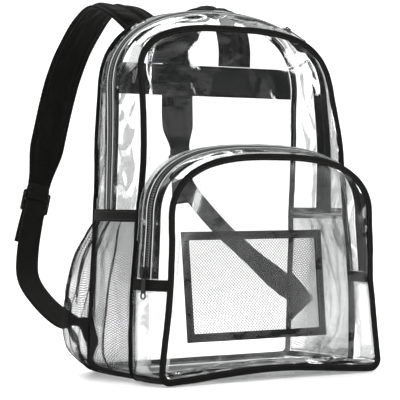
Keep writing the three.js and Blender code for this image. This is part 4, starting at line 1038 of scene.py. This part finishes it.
# Yoke: a wide band of webbing sewn across the back panel, which carries the roots of both straps.
YOKE_TOP, YOKE_HEIGHT, YOKE_THICKNESS = 375, 38, 1.6
webbing_material, tree = new_material("ribbed_webbing")
place = add_node(tree, "ShaderNodeTexCoord")
turned = add_node(tree, "ShaderNodeMapping", None, {
    "Vector": place.outputs["UV"], "Rotation": (0, 0, math.pi / 4)})
weave = add_node(tree, "ShaderNodeTexWave", {"bands_direction": "X"}, {
    "Vector": turned.outputs[0], "Scale": 170.0, "Distortion": 1.0, "Detail": 2.0, "Detail Scale": 2.0})
cloth_look(tree, weave, (0.7, 0.0005), 120.0, 4.0, "#060605", "#10100e", 0.72)


def half_at_height(seam, z, inset):
    if z < seam.shoulder:
        return seam.half(z) - inset
    share = (z - seam.shoulder) / (seam.top - seam.shoulder - inset)
    return (seam.half(seam.shoulder) - inset) * (1 - share ** seam.power) ** (1 / seam.power)


yoke_rows = []
for i in range(9):
    z = mix(YOKE_TOP - YOKE_HEIGHT, YOKE_TOP, i / 8)
    half = half_at_height(back_seam, z, BINDING_WIDTH + 2 * GAP)
    yoke_rows.append([Vector((mix(-half, half, j / 60), back_y(z) + FILM / 2 + GAP + YOKE_THICKNESS / 2
                              + 0.5 * max(0, ripple(mix(-half, half, j / 60), 0, z, 30, 7)), z)) for j in range(61)])
cloth_piece("yoke_band", yoke_rows, YOKE_THICKNESS, webbing_material)
lines = []
for row in (yoke_rows[1], yoke_rows[-2]):
    for way in (-1, 1):
        lines.append([(place + Vector((0, way * 0.85, 0)), Vector((0, way, 0))) for place in row])
thread("yoke_band", lines)


# Shoulder straps: foam between two layers of woven polyester, narrowed at the end that holds the lock.
STRAP_FOOT, STRAP_SPACING, STRAP_REACH = 55, 94, 143
STRAP_WIDTH, STRAP_THICKNESS, TAPER_START = 48, 9, 0.9
WEBBING_WIDTH, WEBBING_THICKNESS, TAIL_LENGTH = 28, 1.6, 40
LEFT_STRAP_ROWS = [
    (0.02, 0.047, 1.005, 0, 0), (0.024, 0.05, 1.03, 0, 0), (0.12, 0.06, 1.085, 0, -8), (0.3, 0.13, 1.15, 0, -14),
    (0.45, 0.28, 1.207, 0, -8), (0.52, 0.494, 1.23, 0, -2), (0.545, 0.732, 1.185, 0, 3), (0.63, 0.926, 1.074, 0, 3),
    (0.735, 0.968, 0.969, 0, 2), (0.83, 0.955, 0.869, 0, 2), (0.985, 0.91, 0.68, 0, 2), (1.1, 0.88, 0.53, 2, 4),
]
RIGHT_STRAP_ROWS = [
    (0.05, 0.045, 1.003, 0, 0), (0.05, 0.055, 1.08, 0, 0), (0.045, 0.14, 1.17, 0, 0), (0.035, 0.34, 1.235, 0, 0),
    (0.025, 0.62, 1.24, 0, 0), (0.02, 0.87, 1.18, 0, 0), (0.02, 0.98, 1.07, 0, 0), (0.03, 1, 0.93, 0, 0),
    (0.04, 0.99, 0.8, 0, 0), (0.07, 0.97, 0.69, -3, -2),
]
LEFT_WEBBING_ROWS = [
    (1.28, 0.8, 0.27, 12, 2), (1.33, 0.7, 0.17, 16, 0), (1.27, 0.52, 0.09, 4, -16), (1.14, 0.28, 0.02, -30, -40),
]
RIGHT_WEBBING_ROWS = [(0.31, 0.59, 0.385, -18, -30), (0.65, 0.32, 0.24, -34, -42)]
padding_material, tree = new_material("padded_polyester_cloth")
place = add_node(tree, "ShaderNodeTexCoord")
warp = add_node(tree, "ShaderNodeTexWave", {"bands_direction": "X"}, {
    "Vector": place.outputs["UV"], "Scale": 220.0, "Distortion": 0.8, "Detail": 1.0})
weft = add_node(tree, "ShaderNodeTexWave", {"bands_direction": "Y"}, {
    "Vector": place.outputs["UV"], "Scale": 220.0, "Distortion": 0.8, "Detail": 1.0})
weave = add_node(tree, "ShaderNodeMath", {"operation": "MULTIPLY"}, {0: warp.outputs[0], 1: weft.outputs[0]})
cloth_look(tree, weave, (0.7, 0.0004), 70.0, 5.0, "#040403", "#0d0d0b", 0.85)


def strap_place(side, row):
    z = mix(STRAP_FOOT, YOKE_TOP, row[2])
    return Vector((side * mix(STRAP_SPACING / 2, BACK_HALF_WIDTH, row[0]), back_y(z) + row[1] * STRAP_REACH, z))


def strap_across(row):
    turn, tilt = math.radians(row[3]), math.radians(row[4])
    return Vector((math.cos(turn) * math.cos(tilt), -math.sin(turn) * math.cos(tilt), -math.sin(tilt)))


def smooth_run(points, share):
    """A point of the smooth curve through points, eased by the distances between them."""
    place = share * (len(points) - 1)
    i = min(int(place), len(points) - 2)
    weight = place - i
    p1, p2 = points[i], points[i + 1]
    p0 = points[i - 1] if i else p1 * 2 - p2
    p3 = points[i + 2] if i + 2 < len(points) else p2 * 2 - p1
    gaps = [max((b - a).length ** 0.5, 1e-4) for a, b in ((p0, p1), (p1, p2), (p2, p3))]
    if gaps[1] < 1e-3:
        gaps[1] = 1.0
    if gaps[0] < 1e-3:
        gaps[0] = gaps[1]
    if gaps[2] < 1e-3:
        gaps[2] = gaps[1]
    t1 = ((p1 - p0) / gaps[0] - (p2 - p0) / (gaps[0] + gaps[1]) + (p2 - p1) / gaps[1]) * gaps[1]
    t2 = ((p2 - p1) / gaps[1] - (p3 - p1) / (gaps[1] + gaps[2]) + (p3 - p2) / gaps[2]) * gaps[1]
    c2, c3 = (p2 - p1) * 3 - t1 * 2 - t2, (p1 - p2) * 2 + t1 + t2
    return p1 + t1 * weight + c2 * weight ** 2 + c3 * weight ** 3


def strap_frames(places, acrosses, steps):
    frames = []
    for i in range(steps + 1):
        share = i / steps
        point = smooth_run(places, share)
        ahead, behind = smooth_run(places, min(share + 1e-4, 1)), smooth_run(places, max(share - 1e-4, 0))
        along = (ahead - behind).normalized()
        across = smooth_run(acrosses, share)
        across = (across - along * across.dot(along)).normalized()
        frames.append((point, along, across))
    return frames


def strap_pad(name, frames):
    """The padded strap: sewn down along both edges and a crease, then blown up by its foam as cloth."""
    cols, last = 16, len(frames) - 1
    sewn_cols = (2, 10, 14)

    def taper(i):
        return ease((i / last - TAPER_START) / (1 - TAPER_START))

    def thick(i, j):
        edge = min(j, cols - j) / (cols / 2)
        crown = mix(0.25, 0.8, ease(edge * 1.9) ** 0.8) * (0.45 if j in sewn_cols else 1)
        return mix(STRAP_THICKNESS * crown, 3.4 * (0.75 + 0.25 * min(1, edge * 3)), taper(i))

    rows = []
    for i, (point, _, across) in enumerate(frames):
        width = mix(STRAP_WIDTH, WEBBING_WIDTH + 3, taper(i))
        rows.append([point + across * (j / cols - 0.5) * width for j in range(cols + 1)])

    piece = cloth_piece(name, rows, thick, padding_material)
    puff_up(piece, rows, sewn_cols)
    soften = piece.modifiers.new("rounded_cloth", "SUBSURF")
    soften.levels = soften.render_levels = 1
    lines = []
    for j in (sewn_cols[0], sewn_cols[-1]):
        for way in (-1, 1):
            line = []
            for i in range(3, int(last * TAPER_START)):
                out = frames[i][2].cross(frames[i][1]) * way
                line.append((rows[i][j] + out * (thick(i, j) / 2 + 0.3), out))
            lines.append(line)
    thread(name, lines)


PAD_PRESSURE, PAD_FRAMES, PAD_SWELL = 4, 20, 0.0022


def puff_up(piece, rows, sewn_cols):
    """Cloth simulation: pressure fills the pad between its rows of sewing, which hold still, by PAD_SWELL
    metres at the most."""
    mesh, count, width = piece.data, len(rows), len(rows[0])
    held = piece.vertex_groups.new(name="sewn_down")
    for layer in (0, 1):
        for i in range(count):
            for j in range(width):
                if i in (0, count - 1) or j in (0, width - 1) or j in sewn_cols or i > count * 0.95:
                    held.add([(layer * count + i) * width + j], 1.0, "REPLACE")
    start = [vertex.co.copy() for vertex in mesh.vertices]
    cloth = piece.modifiers.new("foam", "CLOTH")
    cloth.settings.quality = 5
    cloth.settings.mass = 0.2
    cloth.settings.tension_stiffness = cloth.settings.compression_stiffness = 12
    cloth.settings.shrink_min = -0.04
    cloth.settings.use_pressure = True
    cloth.settings.uniform_pressure_force = PAD_PRESSURE
    cloth.settings.vertex_group_mass = "sewn_down"
    cloth.settings.effector_weights.gravity = 0
    for step in range(1, PAD_FRAMES + 1):
        bpy.context.scene.frame_set(step)
    swollen = piece.evaluated_get(bpy.context.evaluated_depsgraph_get()).data
    ends = [vertex.co.copy() for vertex in swollen.vertices]
    piece.modifiers.remove(cloth)
    bpy.context.scene.frame_set(1)
    for vertex, first, end in zip(mesh.vertices, start, ends):
        move = end - first
        vertex.co = first + move * min(1, PAD_SWELL / max(move.length, 1e-9))
    piece.vertex_groups.remove(held)


LOCK_LENGTH, LOCK_BELOW_PAD, LOCK_TURN_RADIUS = 27, 21, 3.8
LOCK_LOOP_BAR, LOCK_TURN = -6.6, 2.4
ANCHOR_CUT, TAB_DROP, TAB_LENGTH, TAB_SPAN, TAB_THICKNESS = 30, 10, 34, 62, 1.2


def half_turn(centre, direction, steps):
    return [(centre + direction * LOCK_TURN_RADIUS * math.sin(math.pi * i / steps),
             LOCK_TURN_RADIUS * math.cos(math.pi * i / steps)) for i in range(steps + 1)]


def across_rows(rows, cols):
    return [[row[0].lerp(row[1], j / cols) for j in range(cols + 1)] for row in rows]


for label, side, anchor_height, pad_rows, web_rows in (
        ("left", -1, 50, LEFT_STRAP_ROWS, LEFT_WEBBING_ROWS),
        ("right", 1, 90, RIGHT_STRAP_ROWS, RIGHT_WEBBING_ROWS)):
    frames = strap_frames([strap_place(side, row) for row in pad_rows],
                          [strap_across(row) for row in pad_rows], 160)
    strap_pad(f"{label}_strap_pad", frames)
    point, along, across = frames[-1]
    origin, out = point + along * LOCK_BELOW_PAD, across.cross(along)

    def in_lock(x, y, z):
        return origin + across * x + along * y + out * z

    start = -LOCK_BELOW_PAD - 2
    rise = mix(start, LOCK_LOOP_BAR, 0.6)
    loop = [(start, 1.2), (rise, LOCK_TURN_RADIUS), *half_turn(LOCK_LOOP_BAR, 1, 14), (rise, -LOCK_TURN_RADIUS),
            (start, -1.2)]
    half = WEBBING_WIDTH / 2
    loop_rows = across_rows([[in_lock(-half, y, z), in_lock(half, y, z)] for y, z in loop], 8)
    cloth_piece(f"{label}_lock_loop", loop_rows, WEBBING_THICKNESS, webbing_material)
    tail_end = LOCK_LENGTH / 2 + TAIL_LENGTH
    local = [(tail_end, LOCK_TURN_RADIUS + 4), (mix(LOCK_TURN, tail_end, 0.5), LOCK_TURN_RADIUS + 2),
             (LOCK_LENGTH / 2, LOCK_TURN_RADIUS), *half_turn(LOCK_TURN, -1, 14),
             (LOCK_LENGTH / 2, -LOCK_TURN_RADIUS)]
    rows = [[in_lock(-half, y, z), in_lock(half, y, z)] for y, z in local]
    sewn = []
    for s in (-0.5, 0.5):
        z = anchor_height + side * s * ANCHOR_CUT
        y = back_y(z) + BINDING_THICKNESS / 2 + 2 * GAP + WEBBING_THICKNESS / 2
        sewn.append(Vector((side * (back_seam.half(z) - BINDING_WIDTH / 2), y, z)))
    places = [in_lock(0, LOCK_LENGTH / 2 + below, -LOCK_TURN_RADIUS) for below in (0, 10)]
    places += [strap_place(side, row) for row in web_rows] + [sewn[0].lerp(sewn[1], 0.5)]
    lies = [across, across] + [strap_across(row) for row in web_rows] + [(sewn[1] - sewn[0]).normalized()]
    for middle, _, lie in strap_frames(places, lies, 60)[1:-1]:
        rows.append([middle - lie * half, middle + lie * half])
    rows.append(sewn)
    cloth_piece(f"{label}_webbing", across_rows(rows, 8), WEBBING_THICKNESS, webbing_material)
    tab = []
    for i in range(13):
        row = []
        for j in range(13):
            span = mix(TAB_SPAN / 2, 3, j / 12)
            z = anchor_height - TAB_DROP + mix(-span, span, i / 12)
            from_rear = 1 - (SEAM_CLEAR + TAB_THICKNESS + TAB_LENGTH * j / 12) / BODY_DEPTH
            corner = body_side(side, z, from_rear)
            along_wall = body_side(side, z, from_rear + 0.01) - body_side(side, z, from_rear - 0.01)
            up_wall = body_side(side, z + 1, from_rear) - body_side(side, z - 1, from_rear)
            away = along_wall.cross(up_wall).normalized()
            row.append(corner + away * math.copysign(FILM / 2 + GAP + TAB_THICKNESS / 2, away.x * side))
        tab.append(row)
    cloth_piece(f"{label}_anchor_tab", tab, TAB_THICKNESS, webbing_material)
    away = Vector((side, 0, 0))
    edges = [[row[1] for row in tab[1:-1]], tab[1][1:], tab[11][1:]]
    thread(f"{label}_anchor_tab", [[(place + away * 0.7, away) for place in edge] for edge in edges])


def dress_hard(name, material, edges, width, segments):
    """Keeps a CAD node, with a material of its own and softened edges."""
    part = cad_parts[name]
    part.data.materials.clear()
    part.data.materials.append(material)
    soften = part.modifiers.new(edges, "BEVEL")
    soften.width, soften.segments, soften.limit_method = width, segments, "ANGLE"


# Ladder locks: moulded black acetal, with the softened edges that a mould gives.
lock_material, tree = new_material("moulded_acetal")
place = add_node(tree, "ShaderNodeTexCoord")
grain = add_node(tree, "ShaderNodeTexNoise", None, {
    "Vector": place.outputs["Object"], "Scale": 1500.0, "Detail": 2.0})
bump = add_node(tree, "ShaderNodeBump", None, {"Height": grain.outputs[0], "Strength": 0.2, "Distance": 0.0001})
plastic = add_node(tree, "ShaderNodeBsdfPrincipled", None, {
    "Base Color": linear("#0e0e0d"), "Roughness": 0.38, "IOR": 1.48, "Normal": bump.outputs[0]})
show(tree, plastic)
for label in ("left", "right"):
    dress_hard(f"{label}_ladder_lock", lock_material, "moulded_edges", 0.0006, 3)


# Zip sliders and pulls: die-cast zinc under black enamel. Each pull hangs on its slider's bridge.
enamel_material, tree = new_material("black_enamelled_zinc")
place = add_node(tree, "ShaderNodeTexCoord")
chips = add_node(tree, "ShaderNodeTexNoise", None, {
    "Vector": place.outputs["Object"], "Scale": 700.0, "Detail": 3.0})
shade = add_node(tree, "ShaderNodeMix", {"data_type": "RGBA"}, {
    "Factor": chips.outputs[0], "A": linear("#080808"), "B": linear("#161616")})
enamel = add_node(tree, "ShaderNodeBsdfPrincipled", None, {
    "Base Color": shade.outputs["Result"], "Roughness": 0.3, "Coat Weight": 0.5, "Coat Roughness": 0.15})
show(tree, enamel)
for name in ("main_zipper_slider", "main_zipper_pull", "pocket_zipper_slider", "pocket_zipper_pull"):
    dress_hard(name, enamel_material, "cast_edges", 0.0003, 2)
